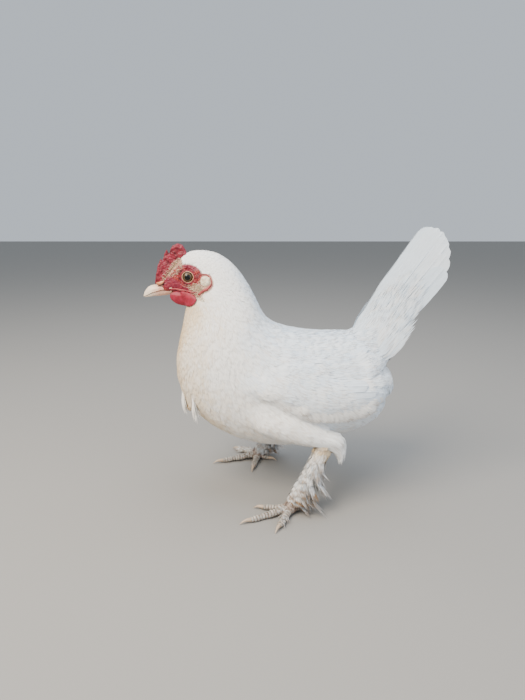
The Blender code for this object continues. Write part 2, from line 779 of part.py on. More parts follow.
def toe_path(ball_centre, toe, angle):
    """Centres and radii of a toe's rings, with a swelling over each pad."""
    length, root_radius = TOE_LENGTHS[toe], TOE_ROOT_RADIUS[toe]
    heading = toe_heading(angle)
    rows = 2 * TOE_PADS[toe] + 1
    path, radii = [], []
    for row in range(rows + 1):
        part = row / rows
        slim = root_radius + (TOE_TIP_RADIUS - root_radius) * part
        radius = slim * (1 + 0.10 * math.cos(2 * math.pi * (part * TOE_PADS[toe] - 0.5)))
        height = slim * TOE_HEIGHT + 1.6 * (1 - part) ** 3
        path.append(Vector((ball_centre.x, ball_centre.y, height)) + heading * (length * part))
        radii.append((radius, radius * 0.9))
    return path, radii


def toe_vanes(centre, angle, side):
    """Small stiff feathers on the upper and rear sides of the outer toe."""
    lengthwise = (toe_heading(angle) + Vector((0.3, 0, 0.18))).normalized()
    axes = square_axes(lengthwise, Vector((0.5, 0, 1)), side)
    return brush(centre, axes, TOE_BRUSH)


def make_foot(name, side, leg):
    centre = leg_point(leg["ball"], side)
    rows = 6
    rings = []
    for row in range(rows + 1):
        turn = math.pi * (0.12 + 0.8 * row / rows)
        height = centre.z - 6.9 * math.cos(turn)
        reach = 7.6 * math.sin(turn)
        rings.append(oval_ring((centre.x, centre.y, height), (reach, 0, 0), (0, reach * 0.95, 0), 12))
    foot = loft(f"foot_{name}", on_floor(rings), "toe_skin")
    toes = []
    for toe, angle in leg["toes"].items():
        path, radii = toe_path(centre, toe, angle)
        toes.append(loft("toe", on_floor(path_rings(path, radii, 8, 0.5)), "toe_skin"))
    fuse(foot, toes)
    return fuse(foot, toe_vanes(centre, leg["toes"]["outer"], side))


def make_claw(name, side, leg, toe):
    """A curved claw, set against the toe's flat end."""
    angle = leg["toes"][toe]
    path, _ = toe_path(leg_point(leg["ball"], side), toe, angle)
    heading, length = toe_heading(angle), CLAW_LENGTHS[toe]
    start = path[-1] + heading * GAP
    steps = 4
    path, radii = [], []
    for step in range(steps + 1):
        part = step / steps
        drop = 1.5 * part ** 2 + 0.3 * math.sin(math.pi * part)
        radius = 1.75 * (1 - part) ** 0.75 + 0.22
        path.append(start + heading * (length * part) - Vector((0, 0, drop)))
        radii.append((radius, radius * 0.8))
    return loft(f"claw_{name}_{toe}", on_floor(path_rings(path, radii, 6)), "claw_horn")


def stand_on_origin(nodes):
    """Moves the bird so that its box stands on the origin, under one empty."""
    corners = [vertex.co for node in nodes for vertex in node.data.vertices]
    low = [min(corner[axis] for corner in corners) for axis in range(3)]
    high = [max(corner[axis] for corner in corners) for axis in range(3)]
    middle = Vector(((low[0] + high[0]) / 2, (low[1] + high[1]) / 2, 0))
    stand = bpy.data.objects.new("booted_bantam", None)
    bpy.context.scene.collection.objects.link(stand)
    for node in nodes:
        centre = sum((vertex.co for vertex in node.data.vertices), Vector()) / len(node.data.vertices)
        node.data.transform(Matrix.Translation(-centre))
        node.location = centre - middle
        node.parent = stand
        node.data.shade_smooth()
        node.data.set_sharp_from_angle(angle=math.radians(40))


def build():
    clear_scene()
    random.seed(4)
    torso, neck = make_torso(), make_neck()
    eyes = [make_eye(name, side) for name, side in SIDES.items()]
    head = make_head(eyes)
    beaks = make_beak()
    nodes = [torso, neck, head, *eyes, *beaks, make_comb(head, beaks[0]), make_tail(torso)]
    for name, side in SIDES.items():
        leg = LEGS[name]
        nodes.append(make_wattle(name, side, (head, neck, *beaks)))
        nodes.append(make_lobe(name, side, (head, neck)))
        nodes.append(make_wing(name, side, torso))
        foot = make_foot(name, side, leg)
        nodes.append(foot)
        shank = make_shank(name, side, leg)
        thigh = make_thigh(name, side, leg, torso, shank)
        add_boot(shank, leg, side, foot)
        nodes += [shank, thigh]
        nodes += [make_claw(name, side, leg, toe) for toe in leg["toes"]]
    stand_on_origin(nodes)


build()
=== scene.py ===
import math
import random

import bmesh
import bpy
import numpy as np
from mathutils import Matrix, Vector, noise
from mathutils.bvhtree import BVHTree
from mathutils.kdtree import KDTree


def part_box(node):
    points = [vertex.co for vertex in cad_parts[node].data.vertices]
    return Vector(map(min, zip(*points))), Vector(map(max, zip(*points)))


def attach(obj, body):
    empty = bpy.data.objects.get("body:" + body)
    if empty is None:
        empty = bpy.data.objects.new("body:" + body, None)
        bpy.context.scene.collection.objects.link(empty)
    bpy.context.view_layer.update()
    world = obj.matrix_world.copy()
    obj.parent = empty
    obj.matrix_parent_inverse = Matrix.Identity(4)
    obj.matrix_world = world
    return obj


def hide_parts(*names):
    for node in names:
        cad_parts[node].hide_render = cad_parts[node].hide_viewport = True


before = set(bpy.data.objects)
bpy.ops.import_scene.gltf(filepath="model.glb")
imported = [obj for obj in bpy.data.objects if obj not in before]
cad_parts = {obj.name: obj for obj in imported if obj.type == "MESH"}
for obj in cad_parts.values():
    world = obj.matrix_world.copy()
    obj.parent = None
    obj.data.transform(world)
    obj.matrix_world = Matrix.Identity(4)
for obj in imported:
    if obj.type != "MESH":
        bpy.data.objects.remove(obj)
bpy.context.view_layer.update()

random.seed(11)
chance = np.random.default_rng(11)
mm = 0.001

# Places are the bird's own millimetres: beak towards -x, left side towards -y, floor at z 0.
# The left eye's centre ties them to the frame.
eyeKey = (-103.7, -10.1, 208.2)
lowEye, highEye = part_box("eye_left")
shift = (lowEye + highEye) / 2 - Vector(eyeKey) * mm
sides = {"left": -1, "right": 1}


def at(x, y, z):
    return Vector((x, y, z)) * mm + shift


def inBird(points):
    return (np.asarray(points) - np.array(shift)) / mm


def inFrame(bird):
    return np.asarray(bird) * mm + np.array(shift)


def each(values, many):
    # One value for all or one for each, as an array.
    return np.broadcast_to(np.asarray(values, float), many)


def spun(ahead, up, degrees):
    # Places seen from the side, turned about their middle.
    turn = math.radians(degrees)
    return ahead * math.cos(turn) - up * math.sin(turn), ahead * math.sin(turn) + up * math.cos(turn)


def smoothStep(low, high, value):
    part = np.clip((value - low) / (high - low), 0, 1)
    return part * part * (3 - 2 * part)


# Object and modifier helpers.


def pick(*items):
    bpy.ops.object.select_all(action="DESELECT")
    for item in items:
        item.select_set(True)
    bpy.context.view_layer.objects.active = items[0]


def addObject(name, data):
    item = bpy.data.objects.new(name, data)
    bpy.context.scene.collection.objects.link(item)
    return item


def useModifier(item, kind, **settings):
    pick(item)
    bpy.ops.object.modifier_add(type=kind)
    modifier = item.modifiers[-1]
    for key, value in settings.items():
        setattr(modifier, key, value)
    bpy.ops.object.modifier_apply(modifier=modifier.name)


def joinPieces(name, items):
    pick(*items)
    if len(items) > 1:
        bpy.ops.object.join()
    item = items[0]
    item.name = name
    item.data.name = name
    return item


def mergeDoubles(item, distance=1e-6):
    pick(item)
    bpy.ops.object.mode_set(mode="EDIT")
    bpy.ops.mesh.select_all(action="SELECT")
    bpy.ops.mesh.remove_doubles(threshold=distance)
    bpy.ops.object.mode_set(mode="OBJECT")


def copyNodes(name, nodes):
    copies = []
    for node in nodes:
        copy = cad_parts[node].copy()
        copy.data = copy.data.copy()
        copy.data.materials.clear()
        for key in list(copy.keys()):
            del copy[key]
        copy.parent = None
        bpy.context.scene.collection.objects.link(copy)
        copies.append(copy)
    item = joinPieces(name, copies)
    mergeDoubles(item)
    return item


def readVertices(mesh, key="co"):
    values = np.empty(len(mesh.vertices) * 3)
    mesh.vertices.foreach_get(key, values)
    return values.reshape(-1, 3)


def getBird(item):
    return inBird(readVertices(item.data))


def setBird(item, bird):
    item.data.vertices.foreach_set("co", inFrame(bird).astype(np.float32).ravel())
    item.data.update()


def settleOrigin(item):
    pick(item)
    bpy.ops.object.transform_apply(location=True, rotation=True, scale=True)


def addBall(name, segments, rings, radius=1.0, place=None, scale=(1, 1, 1), rotation=(0, 0, 0)):
    # A ball in bird millimetres, or one about the origin that is shaped before it gets its place.
    bpy.ops.object.select_all(action="DESELECT")
    location = (0, 0, 0) if place is None else at(*place)
    bpy.ops.mesh.primitive_uv_sphere_add(segments=segments, ring_count=rings, radius=radius * mm,
                                         location=location, rotation=rotation)
    item = bpy.context.object
    item.name = name
    item.scale = scale
    settleOrigin(item)
    return item


def tube(name, path, radii, sides=16):
    # A round tube along points in bird millimetres, closed at both ends.
    curve = bpy.data.curves.new(name, "CURVE")
    curve.dimensions = "3D"
    curve.bevel_depth = mm
    curve.bevel_resolution = max(sides // 4 - 1, 0)
    curve.use_fill_caps = True
    spline = curve.splines.new("POLY")
    spline.points.add(len(path) - 1)
    for point, place, radius in zip(spline.points, path, radii):
        point.co = (*at(*place), 1)
        point.radius = radius
    item = addObject(name, curve)
    pick(item)
    bpy.ops.object.convert(target="MESH")
    mergeDoubles(item)
    return item


def finishPiece(item, material, slot, *nodes):
    item.data.materials.clear()
    item.data.materials.append(material)
    item.data.shade_smooth()
    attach(item, "root")
    if nodes:
        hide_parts(*nodes)
    return item


# Materials.


def linear(code):
    # An sRGB hex colour as the linear values that the nodes take.
    parts = [int(code[place:place + 2], 16) / 255 for place in (0, 2, 4)]
    steep = [((part + 0.055) / 1.055) ** 2.4 for part in parts]
    return tuple(part / 12.92 if part <= 0.04045 else bright for part, bright in zip(parts, steep)) + (1.0,)


def startMaterial(name):
    material = bpy.data.materials.new(name)
    material.use_nodes = True
    tree = material.node_tree
    return material, tree, tree.nodes["Principled BSDF"]


def addNode(tree, kind, settings=None, links=None):
    node = tree.nodes.new(kind)
    for key, value in (settings or {}).items():
        if key == "stops":
            stops = node.color_ramp.elements
            stops.remove(stops[-1])
            stops[0].position, stops[0].color = value[0][0], linear(value[0][1])
            for place, code in value[1:]:
                stops.new(place).color = linear(code)
        elif isinstance(key, int) or key in node.inputs:
            node.inputs[key].default_value = value
        else:
            setattr(node, key, value)
    for key, socket in (links or {}).items():
        tree.links.new(socket, node.inputs[key])
    return node


def endMaterial(tree, shader, values, colour, height=None, bump=None):
    # Sets the shader's constants and gives it the colour and the relief.
    for key, value in values.items():
        shader.inputs[key].default_value = value
    tree.links.new(colour, shader.inputs["Base Color"])
    if height:
        relief = addNode(tree, "ShaderNodeBump", bump, {"Height": height})
        tree.links.new(relief.outputs["Normal"], shader.inputs["Normal"])


mapSpan = 20  # millimetres to one turn of the map that lies along each feather
featherLooks = {
    "skyCastCode": "CADFF2", "whiteCode": "F8F7F3", "creamCode": "E6C99A", "shadowStreakCode": "A8917A",
    "barbWidth": 0.6, "barbLength": 9.0, "barbShadeDepth": 0.12,
    "streakWidth": 1.4, "streakLength": 24.0, "shadowStreakDepth": 0.3,
    "sheen": 0.15, "roughness": 0.75,
}


def featherMaterial(name, looks, tipCode=None, tipStart=0.6, dirtCode=None):
    # Feather keratin: matt, with fine barbs darkened by painted shade between them, and painted shadow that
    # reads as thin tan streaks.
    material, tree, shader = startMaterial(name)
    tone, reach, wear = (addNode(tree, "ShaderNodeAttribute", {"attribute_name": key}).outputs["Fac"]
                         for key in ("tone", "reach", "wear"))
    # The cool end of the ramp is a painted bluish cast of sky light, most of it on the back and tail.
    base = addNode(tree, "ShaderNodeValToRGB", {
        "stops": ((0.0, looks["skyCastCode"]), (0.45, looks["whiteCode"]), (0.6, looks["whiteCode"]),
                  (1.0, looks["creamCode"])),
    }, {"Fac": tone})
    lay = addNode(tree, "ShaderNodeUVMap", {"uv_map": "featherMap"})
    grains = []
    for key, detail, roughness, start in (("barb", 3.0, 0.6, (0, 0, 0)), ("streak", 2.0, 0.5, (3.7, 1.3, 0))):
        # Noise with its turns as wide and as long as the barbs or the streaks.
        scaled = addNode(tree, "ShaderNodeMapping", {
            "Scale": (mapSpan / looks[f"{key}Width"], mapSpan / looks[f"{key}Length"], 1), "Location": start,
        }, {"Vector": lay.outputs["UV"]})
        grain = addNode(tree, "ShaderNodeTexNoise", {"Scale": 1.0, "Detail": detail, "Roughness": roughness},
                        {"Vector": scaled.outputs["Vector"]})
        grains.append(grain.outputs["Fac"])
    barb, streak = grains
    # Painted shade between the barbs: where the barb noise is low the colour is darkened.
    shade = addNode(tree, "ShaderNodeMapRange", {
        "From Min": 0.3, "From Max": 0.7, "To Min": 1 - looks["barbShadeDepth"], "To Max": 1.0,
    }, {"Value": barb})
    fine = addNode(tree, "ShaderNodeMix", {"data_type": "RGBA", "blend_type": "MULTIPLY", 0: 1.0},
                   {6: base.outputs["Color"], 7: shade.outputs["Result"]})
    # Painted shadow: tan streaks where the streak noise is low, standing in for the shade between clumps of
    # barbs.
    share = addNode(tree, "ShaderNodeMapRange", {
        "From Min": 0.34, "From Max": 0.44, "To Min": looks["shadowStreakDepth"], "To Max": 0.0,
    }, {"Value": streak})
    layers = [(looks["shadowStreakCode"], share.outputs["Result"])]
    # Tips take the tip colour by their share: real straw and stain on the boots and toes, painted shadow on the
    # flank's edge.
    if tipCode:
        tip = addNode(tree, "ShaderNodeMapRange", {"From Min": tipStart, "From Max": tipStart + 0.2},
                      {"Value": reach})
        wornAndShaded = addNode(tree, "ShaderNodeMath", {"operation": "MULTIPLY"}, {0: tip.outputs["Result"], 1: wear})
        layers.append((tipCode, wornAndShaded.outputs["Value"]))
    if dirtCode:
        # Dried mud in patches some 3 mm across.
        place = addNode(tree, "ShaderNodeTexCoord")
        mud = addNode(tree, "ShaderNodeTexNoise", {"Scale": 330.0, "Detail": 5.0, "Roughness": 0.65},
                      {"Vector": place.outputs["Object"]})
        amount = addNode(tree, "ShaderNodeMapRange", {"From Min": 0.46, "From Max": 0.7, "To Max": 0.6},
                         {"Value": mud.outputs["Fac"]})
        layers.append((dirtCode, amount.outputs["Result"]))
    colour = fine.outputs[2]
    for code, amount in layers:
        colour = addNode(tree, "ShaderNodeMix", {"data_type": "RGBA", 7: linear(code)},
                         {0: amount, 6: colour}).outputs[2]
    endMaterial(tree, shader, {
        "Roughness": looks["roughness"], "Sheen Weight": looks["sheen"], "Sheen Roughness": 0.5,
    }, colour, barb, {"Strength": 0.3, "Distance": 0.0003})
    return material


def skinMaterial():
    # Fowl skin: pale under the coat, swollen red and beaded where bare, pinkish where bristles cover it.
    material, tree, shader = startMaterial("bareSkin")
    bare, pale, foot, livid = (addNode(tree, "ShaderNodeAttribute", {"attribute_name": key}).outputs["Fac"]
                               for key in ("bare", "pale", "scaly", "livid"))
    spot = {"Vector": addNode(tree, "ShaderNodeTexCoord").outputs["Object"]}
    # Beads 1.1 mm across, and blotches some 3 mm across.
    beads = addNode(tree, "ShaderNodeTexVoronoi", {"Scale": 900.0}, spot)
    blotch = addNode(tree, "ShaderNodeTexNoise", {"Scale": 330.0, "Detail": 4.0}, spot)
    red, thinSkin, toe = (
        addNode(tree, "ShaderNodeValToRGB", {"stops": stops}, {"Fac": blotch.outputs["Fac"]}).outputs["Color"]
        for stops in (((0.3, "4A0A14"), (0.42, "82141E"), (0.55, "A02426"), (0.7, "B8493A")),
                      ((0.35, "8E4E48"), (0.5, "B07C6C"), (0.65, "C4A48C")),
                      ((0.35, "54463C"), (0.5, "7E6C60"), (0.65, "9C8A7C"))))
    # Painted highlight on the bead tops and painted shade between the beads.
    beadShading = addNode(tree, "ShaderNodeMapRange", {
        "From Min": 0.15, "From Max": 0.6, "To Min": 1.15, "To Max": 0.5,
    }, {"Value": beads.outputs["Distance"]})
    shadedRedBead = addNode(tree, "ShaderNodeMix", {"data_type": "RGBA", "blend_type": "MULTIPLY", 0: 1.0},
                      {6: red, 7: beadShading.outputs["Result"]})
    lividShare = addNode(tree, "ShaderNodeMath", {"operation": "MULTIPLY", 1: 0.65}, {0: livid})
    mauve = addNode(tree, "ShaderNodeMix", {"data_type": "RGBA", 7: linear("7E1C38")},
                    {0: lividShare.outputs["Value"], 6: shadedRedBead.outputs[2]})
    under = addNode(tree, "ShaderNodeMix", {"data_type": "RGBA", 6: linear("EFE6DC")}, {0: pale, 7: thinSkin})
    body = addNode(tree, "ShaderNodeMix", {"data_type": "RGBA"},
                   {0: bare, 6: under.outputs[2], 7: mauve.outputs[2]})
    whole = addNode(tree, "ShaderNodeMix", {"data_type": "RGBA"}, {0: foot, 6: body.outputs[2], 7: toe})
    endMaterial(tree, shader, {"Roughness": 0.5}, whole.outputs[2], beads.outputs["Distance"],
                {"Strength": 0.5, "Distance": 0.0003, "invert": True})
    return material


def fleshMaterial(name, darkCode, midCode, lightCode, grain, roughness, coat, bumpStrength):
    # Wattle and comb flesh: blood-filled skin with a fine grain, and a soft gloss where it is tight.
    material, tree, shader = startMaterial(name)
    spot = {"Vector": addNode(tree, "ShaderNodeTexCoord").outputs["Object"]}
    patches = addNode(tree, "ShaderNodeTexNoise", {"Scale": 230.0, "Detail": 4.0, "Roughness": 0.6}, spot)
    colour = addNode(tree, "ShaderNodeValToRGB", {
        "stops": ((0.3, darkCode), (0.5, midCode), (0.72, lightCode)),
    }, {"Fac": patches.outputs["Fac"]})
    beads = addNode(tree, "ShaderNodeTexVoronoi", {"Scale": 1 / (grain * mm)}, spot)
    endMaterial(tree, shader, {
        "Roughness": roughness, "Coat Weight": coat, "Coat Roughness": 0.25,
        "Subsurface Weight": 0.15, "Subsurface Radius": (0.002, 0.0006, 0.0004),
    }, colour.outputs["Color"], beads.outputs["Distance"],
        {"Strength": bumpStrength, "Distance": 0.0003, "invert": True})
    return material


def hornMaterial(name, rootCode, tipCode, start, end, roughness):
    # Horn of beak and claws: layered keratin, pinker over the living root and paler at the worn tip.
    material, tree, shader = startMaterial(name)
    spot = {"Vector": addNode(tree, "ShaderNodeTexCoord").outputs["Object"]}
    axis = addNode(tree, "ShaderNodeSeparateXYZ", {}, spot)
    part = addNode(tree, "ShaderNodeMapRange", {"From Min": at(start, 0, 0).x, "From Max": at(end, 0, 0).x},
                   {"Value": axis.outputs["X"]})
    layers = addNode(tree, "ShaderNodeTexNoise", {"Scale": 420.0, "Detail": 4.0}, spot)
    mixed = addNode(tree, "ShaderNodeMath", {"operation": "MULTIPLY_ADD", 1: 0.5},
                    {0: layers.outputs["Fac"], 2: part.outputs["Result"]})
    colour = addNode(tree, "ShaderNodeValToRGB", {"stops": ((0.15, rootCode), (0.8, tipCode))},
                     {"Fac": mixed.outputs["Value"]})
    endMaterial(tree, shader, {"Roughness": roughness}, colour.outputs["Color"], layers.outputs["Fac"],
                {"Strength": 0.2, "Distance": 0.0002})
    return material


def eyeMaterial():
    # Wet eyeball: black pupil, olive-brown iris with fine rays and a dark rim, partly the iris's own dark brown
    # and partly painted shade under the lids, under a glossy coat.
    material, tree, shader = startMaterial("wetEye")
    place = addNode(tree, "ShaderNodeTexCoord")
    centre = at(*eyeKey)
    moved = addNode(tree, "ShaderNodeVectorMath", {"operation": "SUBTRACT", 1: (centre.x, 0, centre.z)},
                    {0: place.outputs["Object"]})
    flat = addNode(tree, "ShaderNodeVectorMath", {"operation": "MULTIPLY", 1: (1, 0, 1)},
                   {0: moved.outputs["Vector"]})
    radius, direction = (addNode(tree, "ShaderNodeVectorMath", {"operation": kind}, {0: flat.outputs["Vector"]})
                         for kind in ("LENGTH", "NORMALIZE"))
    rays = addNode(tree, "ShaderNodeTexNoise", {"Scale": 9.0, "Detail": 3.0},
                   {"Vector": direction.outputs["Vector"]})
    # The ramp below runs from the middle of the eye out to 6 mm.
    outwards = addNode(tree, "ShaderNodeMath", {"operation": "MULTIPLY", 1: 1000 / 6},
                       {0: radius.outputs["Value"]})
    shaken = addNode(tree, "ShaderNodeMath", {"operation": "MULTIPLY_ADD", 1: 0.07},
                     {0: rays.outputs["Fac"], 2: outwards.outputs["Value"]})
    # Beyond about 4 mm out the iris turns dark: partly its own dark brown, partly painted shade under the lids.
    colour = addNode(tree, "ShaderNodeValToRGB", {
        "stops": ((0.0, "020202"), (0.44, "040302"), (0.49, "3A2A16"), (0.55, "6E5834"), (0.6, "4A3820"),
                  (0.7, "201208"), (0.9, "120A06")),
    }, {"Fac": shaken.outputs["Value"]})
    endMaterial(tree, shader, {
        "Roughness": 0.3, "Specular IOR Level": 0.2, "Coat Weight": 0.35, "Coat Roughness": 0.02,
    }, colour.outputs["Color"])
    return material


bodyFeather = featherMaterial("bodyFeather", featherLooks)
flightFeather = featherMaterial(
    "flightFeather", {**featherLooks, "barbShadeDepth": 0.2, "shadowStreakDepth": 0.1, "streakLength": 30.0})
# The flank's tan tips are painted shadow along the lower edge of the flank.
flankFeather = featherMaterial("flankFeather", featherLooks, "7A5A38", 0.76)
# Boots: a greyer painted cast of shade at the cool end, stronger painted shade between barbs and in streaks,
# straw tips and mud.
bootFeather = featherMaterial(
    "bootFeather", {**featherLooks, "skyCastCode": "BECCD6", "barbShadeDepth": 0.5, "shadowStreakDepth": 0.6},
    "866238", 0.4, "8C7A66")
bristleHorn = featherMaterial("bristleHorn", {**featherLooks, "whiteCode": "DCCDB0", "creamCode": "CDB690"})
bareSkin = skinMaterial()
combFlesh = fleshMaterial("combFlesh", "4C0818", "7C0E24", "90183A", 0.9, 0.6, 0.05, 0.5)
wattleFlesh = fleshMaterial("wattleFlesh", "7A0C20", "90122C", "A02844", 0.8, 0.6, 0.04, 0.25)
lobeFlesh = fleshMaterial("lobeFlesh", "B8A488", "DCCDB2", "EBE0CC", 0.8, 0.6, 0.0, 0.4)
foldFlesh = fleshMaterial("foldFlesh", "6A1A1E", "983038", "B8605A", 0.8, 0.5, 0.1, 0.4)
rimFlesh = fleshMaterial("rimFlesh", "9A6448", "C08E6A", "D4AC8A", 0.6, 0.45, 0.1, 0.3)
nostrilFlesh = fleshMaterial("nostrilFlesh", "A25A38", "CC8458", "DFA47C", 0.6, 0.45, 0.1, 0.3)
# Dark flesh for the nostril's slit: painted shade in the opening.
slitShade = fleshMaterial("slitShade", "2A1210", "3A1A16", "4C241E", 0.6, 0.7, 0.0, 0.2)
wetEye = eyeMaterial()
scaleHorn = fleshMaterial("scaleHorn", "6A625A", "A49C92", "CCC6BC", 1.2, 0.55, 0.0, 0.3)
beakHorn = hornMaterial("beakHorn", "D29C82", "EBD6C0", -131, -146, 0.38)
clawHorn = hornMaterial("clawHorn", "6A584A", "B4A08A", 40, -80, 0.42)
print("materials made")

# The outer form of the coat: the flesh nodes and the legs' upper parts as one smooth solid.

legs = {
    # Thigh of the left leg: place and radius down to the hock, as its feathers fill it.
    "thigh": ((-46, 34, 88, 12), (-32, 38, 85, 17), (-14, 42, 79, 15.2), (2, 44, 72.8, 12.2),
              (14, 45, 69.2, 9.4), (22, 45.5, 67.8, 7.2)),
    "hocks": {"left": (15, 46, 54), "right": (-16, 45, 54)},
    "balls": {"left": (-12, 55, 6.4), "right": (-43, 54, 6.4)},
    # Shares of the way from the hock to the ball of the foot, and the shank's radius there.
    "shank": ((-0.09, 3.4), (-0.05, 5.4), (0.02, 6.2), (0.12, 5.4), (0.3, 4.6), (0.6, 4.5), (0.82, 5.1),
              (1.0, 5.8)),
    # Which way each toe points, in degrees.
    "toes": {
        "left": {"middle": 24, "inner": -10, "outer": 66, "hallux": 203},
        "right": {"middle": 17, "inner": 80, "outer": -38, "hallux": 157},
    },
    "toeLengths": {"middle": 41.0, "inner": 27.0, "outer": 29.0, "hallux": 15.0},
    "toeRadii": {"middle": 4.2, "inner": 3.7, "outer": 3.7, "hallux": 3.2},
    "toePads": {"middle": 3, "inner": 2, "outer": 3, "hallux": 1},
    "toeTipRadius": 2.2, "rightAhead": 31,
}
tail = {
    "origin": (44.6, 163.6), "rise": math.radians(56), "tent": math.radians(25), "ridgeGap": 1.2,
    # How far each vane reaches, from the foremost, and its half width. Two of them show their shafts.
    "tips": (109, 111, 110.5, 108, 103.5, 96, 86), "halfWidth": 8.8,
    "shaft": 0.12, "brightShaft": 1.8, "brightVanes": (2, 4), "covertSink": 2.4,
    "root": ((-12, 26, 24), (8, 28, 22), (25, 28, 18), (38, 27, 13), (52, 25, 7)),
    # Coverts over the vanes: root and tip along the tail, count, first and last tip across, and lift.
    "coverts": ((30, 72, 11, 9, 36, 0.7), (22, 62, 12, 8, 38, 1.1), (14, 53, 14, 7, 41, 1.6),
                (6, 45, 15, 6, 44, 2.1), (-2, 37, 17, 6, 46.5, 2.6), (-12, 26, 14, 12, 47.5, 3.0)),
}


def legPlace(key, name):
    x, y, z = legs[key][name]
    return np.array((x, y * sides[name], z), float)


def thighPath(name):
    path, radii = [], []
    for number, (x, y, z, radius) in enumerate(legs["thigh"]):
        ahead = (0 if name == "left" else legs["rightAhead"]) * number / (len(legs["thigh"]) - 1)
        path.append(np.array((x - ahead, y * sides[name], z)))
        radii.append(radius)
    return path, radii


def shankPath(name):
    hock, ball = legPlace("hocks", name), legPlace("balls", name)
    return [hock + (ball - hock) * part for part, _ in legs["shank"]], [radius for _, radius in legs["shank"]]


def toeHeading(name, toe):
    turn = math.radians(legs["toes"][name][toe])
    return np.array((-math.cos(turn), -math.sin(turn), 0))


def toePath(name, toe):
    ball, heading = legPlace("balls", name), toeHeading(name, toe)
    rows = 6 * legs["toePads"][toe] + 2
    path, radii = [], []
    for row in range(rows + 1):
        part = row / rows
        slim = legs["toeRadii"][toe] + (legs["toeTipRadius"] - legs["toeRadii"][toe]) * part
        swell = 1 + 0.10 * math.cos(2 * math.pi * (part * legs["toePads"][toe] - 0.5))
        height = slim * 0.86 + 1.6 * (1 - part) ** 3
        path.append(np.array((ball[0], ball[1], height)) + heading * legs["toeLengths"][toe] * part)
        radii.append(slim * swell * 0.93)
    return path, radii


def tailFrame(side):
    rise, tent = tail["rise"], tail["tent"]
    along = np.array((math.cos(rise), 0, math.sin(rise)))
    rearward = np.array((math.sin(rise), 0, -math.cos(rise)))
    across = rearward * math.cos(tent) + np.array((0, side * math.sin(tent), 0))
    outwards = np.array((0, side * math.cos(tent), 0)) - rearward * math.sin(tent)
    return along, across, outwards, rearward


def tailRootTube():
    # The tail's fleshy root, narrower across than from front to rear.
    along, _, _, rearward = tailFrame(1)
    origin = np.array((tail["origin"][0], 0, tail["origin"][1]))
    path = [origin + along * a + rearward * b for a, b, _ in tail["root"]]
    root = tube("tailRoot", path, [radius for _, _, radius in tail["root"]], 24)
    bird = getBird(root)
    up = (bird - origin) @ along
    bird[:, 1] *= np.clip(0.87 - 0.006 * (up + 14), 0.4, 0.9)
    setBird(root, bird)
    return root


coatShape = {
    "voxel": 2.2, "smoothing": 8, "growth": 0.25,
    # The flank's fullness under the wing: centre and radii.
    "flank": (14, 31, 105, 60, 26.5, 26),
    # Where the flank comes out of the breast it is smoothed further: centre, reaches and steps.
    "flankFront": (-42, 0, 112), "flankFrontFull": 14, "flankFrontEnd": 34, "flankFrontSmoothing": 60,
}


def buildForm():
    parts = [copyNodes("coatForm", ["torso", "neck", "head", "wing_left", "wing_right"]), tailRootTube()]
    x, y, z, *radii = coatShape["flank"]
    for name, side in sides.items():
        parts.append(tube("thigh", *thighPath(name), 20))
        parts.append(addBall("flank", 32, 20, 1.0, (x, y * side, z), radii))
    form = joinPieces("coatForm", parts)
    useModifier(form, "REMESH", mode="VOXEL", voxel_size=coatShape["voxel"] * mm)
    useModifier(form, "SMOOTH", factor=0.5, iterations=coatShape["smoothing"])
    useModifier(form, "DISPLACE", strength=coatShape["growth"] * mm, mid_level=0.0)
    bird = getBird(form)
    full, end = coatShape["flankFrontFull"], coatShape["flankFrontEnd"]
    gone = np.linalg.norm((bird - coatShape["flankFront"]) * (1, 0, 1), axis=1)
    group = form.vertex_groups.new(name="flankFront")
    for index in np.nonzero((gone < end) & (np.abs(bird[:, 1]) > 20))[0]:
        group.add([int(index)], float(smoothStep(end, full, gone[index])), "REPLACE")
    useModifier(form, "SMOOTH", factor=0.5, iterations=coatShape["flankFrontSmoothing"],
                vertex_group="flankFront")
    bird = getBird(form)
    # The rear is hollowed over the vent and under the tail.
    rear, z = smoothStep(52, 78, bird[:, 0]), bird[:, 2]
    bird[:, 0] -= rear * (8.5 * np.exp(-((z - 99) / 4.5) ** 2) + 3.5 * smoothStep(99, 92, z)
                          + 4.5 * np.exp(-((z - 125) / 4) ** 2))
    setBird(form, bird)
    form.hide_render = True
    return form


coatForm = buildForm()
formTree = BVHTree.FromObject(coatForm, bpy.context.evaluated_depsgraph_get())
print("coat form", len(coatForm.data.vertices))

# Skin: one surface under the coat, bare and beaded on the face, with the shanks and toes.

faceKeys = {
    # Bare patches seen from the side: centre x, centre z, radii, turn in degrees.
    "patches": ((-104.4, 209.4, 13.6, 10.0, 0), (-119, 201.2, 12, 6.0, -18), (-108, 195.6, 12, 3.8, -8),
                (-114, 205.5, 8, 6, -30), (-122.5, 196.6, 8, 4.2, 0)),
    # Pinkish patches under bristles, in the same way.
    "palePatches": ((-99.0, 197.6, 9.5, 6.0, -20), (-116.5, 215.5, 9.5, 5.2, 52), (-125, 208, 6, 4.5, 60),
                    (-88, 204.2, 7.4, 8.0, 0)),
    "lobe": (-87.9, 205.0, 4.3, 4.6, -20),
    # Where the red turns to mauve, in the same way.
    "lividPatches": ((-120, 201.6, 11, 5.6, -18), (-108, 195.8, 13, 3.6, -8), (-101, 218, 9, 3.5, -12)),
    "softEdge": 0.14,
    # Beads and folds of the bare skin, and the rings round the eye, in millimetres.
    "beadSize": 1.25, "beadHeight": 0.5, "foldSize": 2.6, "foldHeight": 0.5,
    "ringGap": 1.9, "ringPlace": 8.5, "ringReach": 4, "ringHeight": 0.22,
}
skinShape = {"voxel": 1.45, "smoothing": 2, "faceCuts": 3, "toeBall": 6.6, "bodyDepth": 2.4, "headDepth": 1.0}


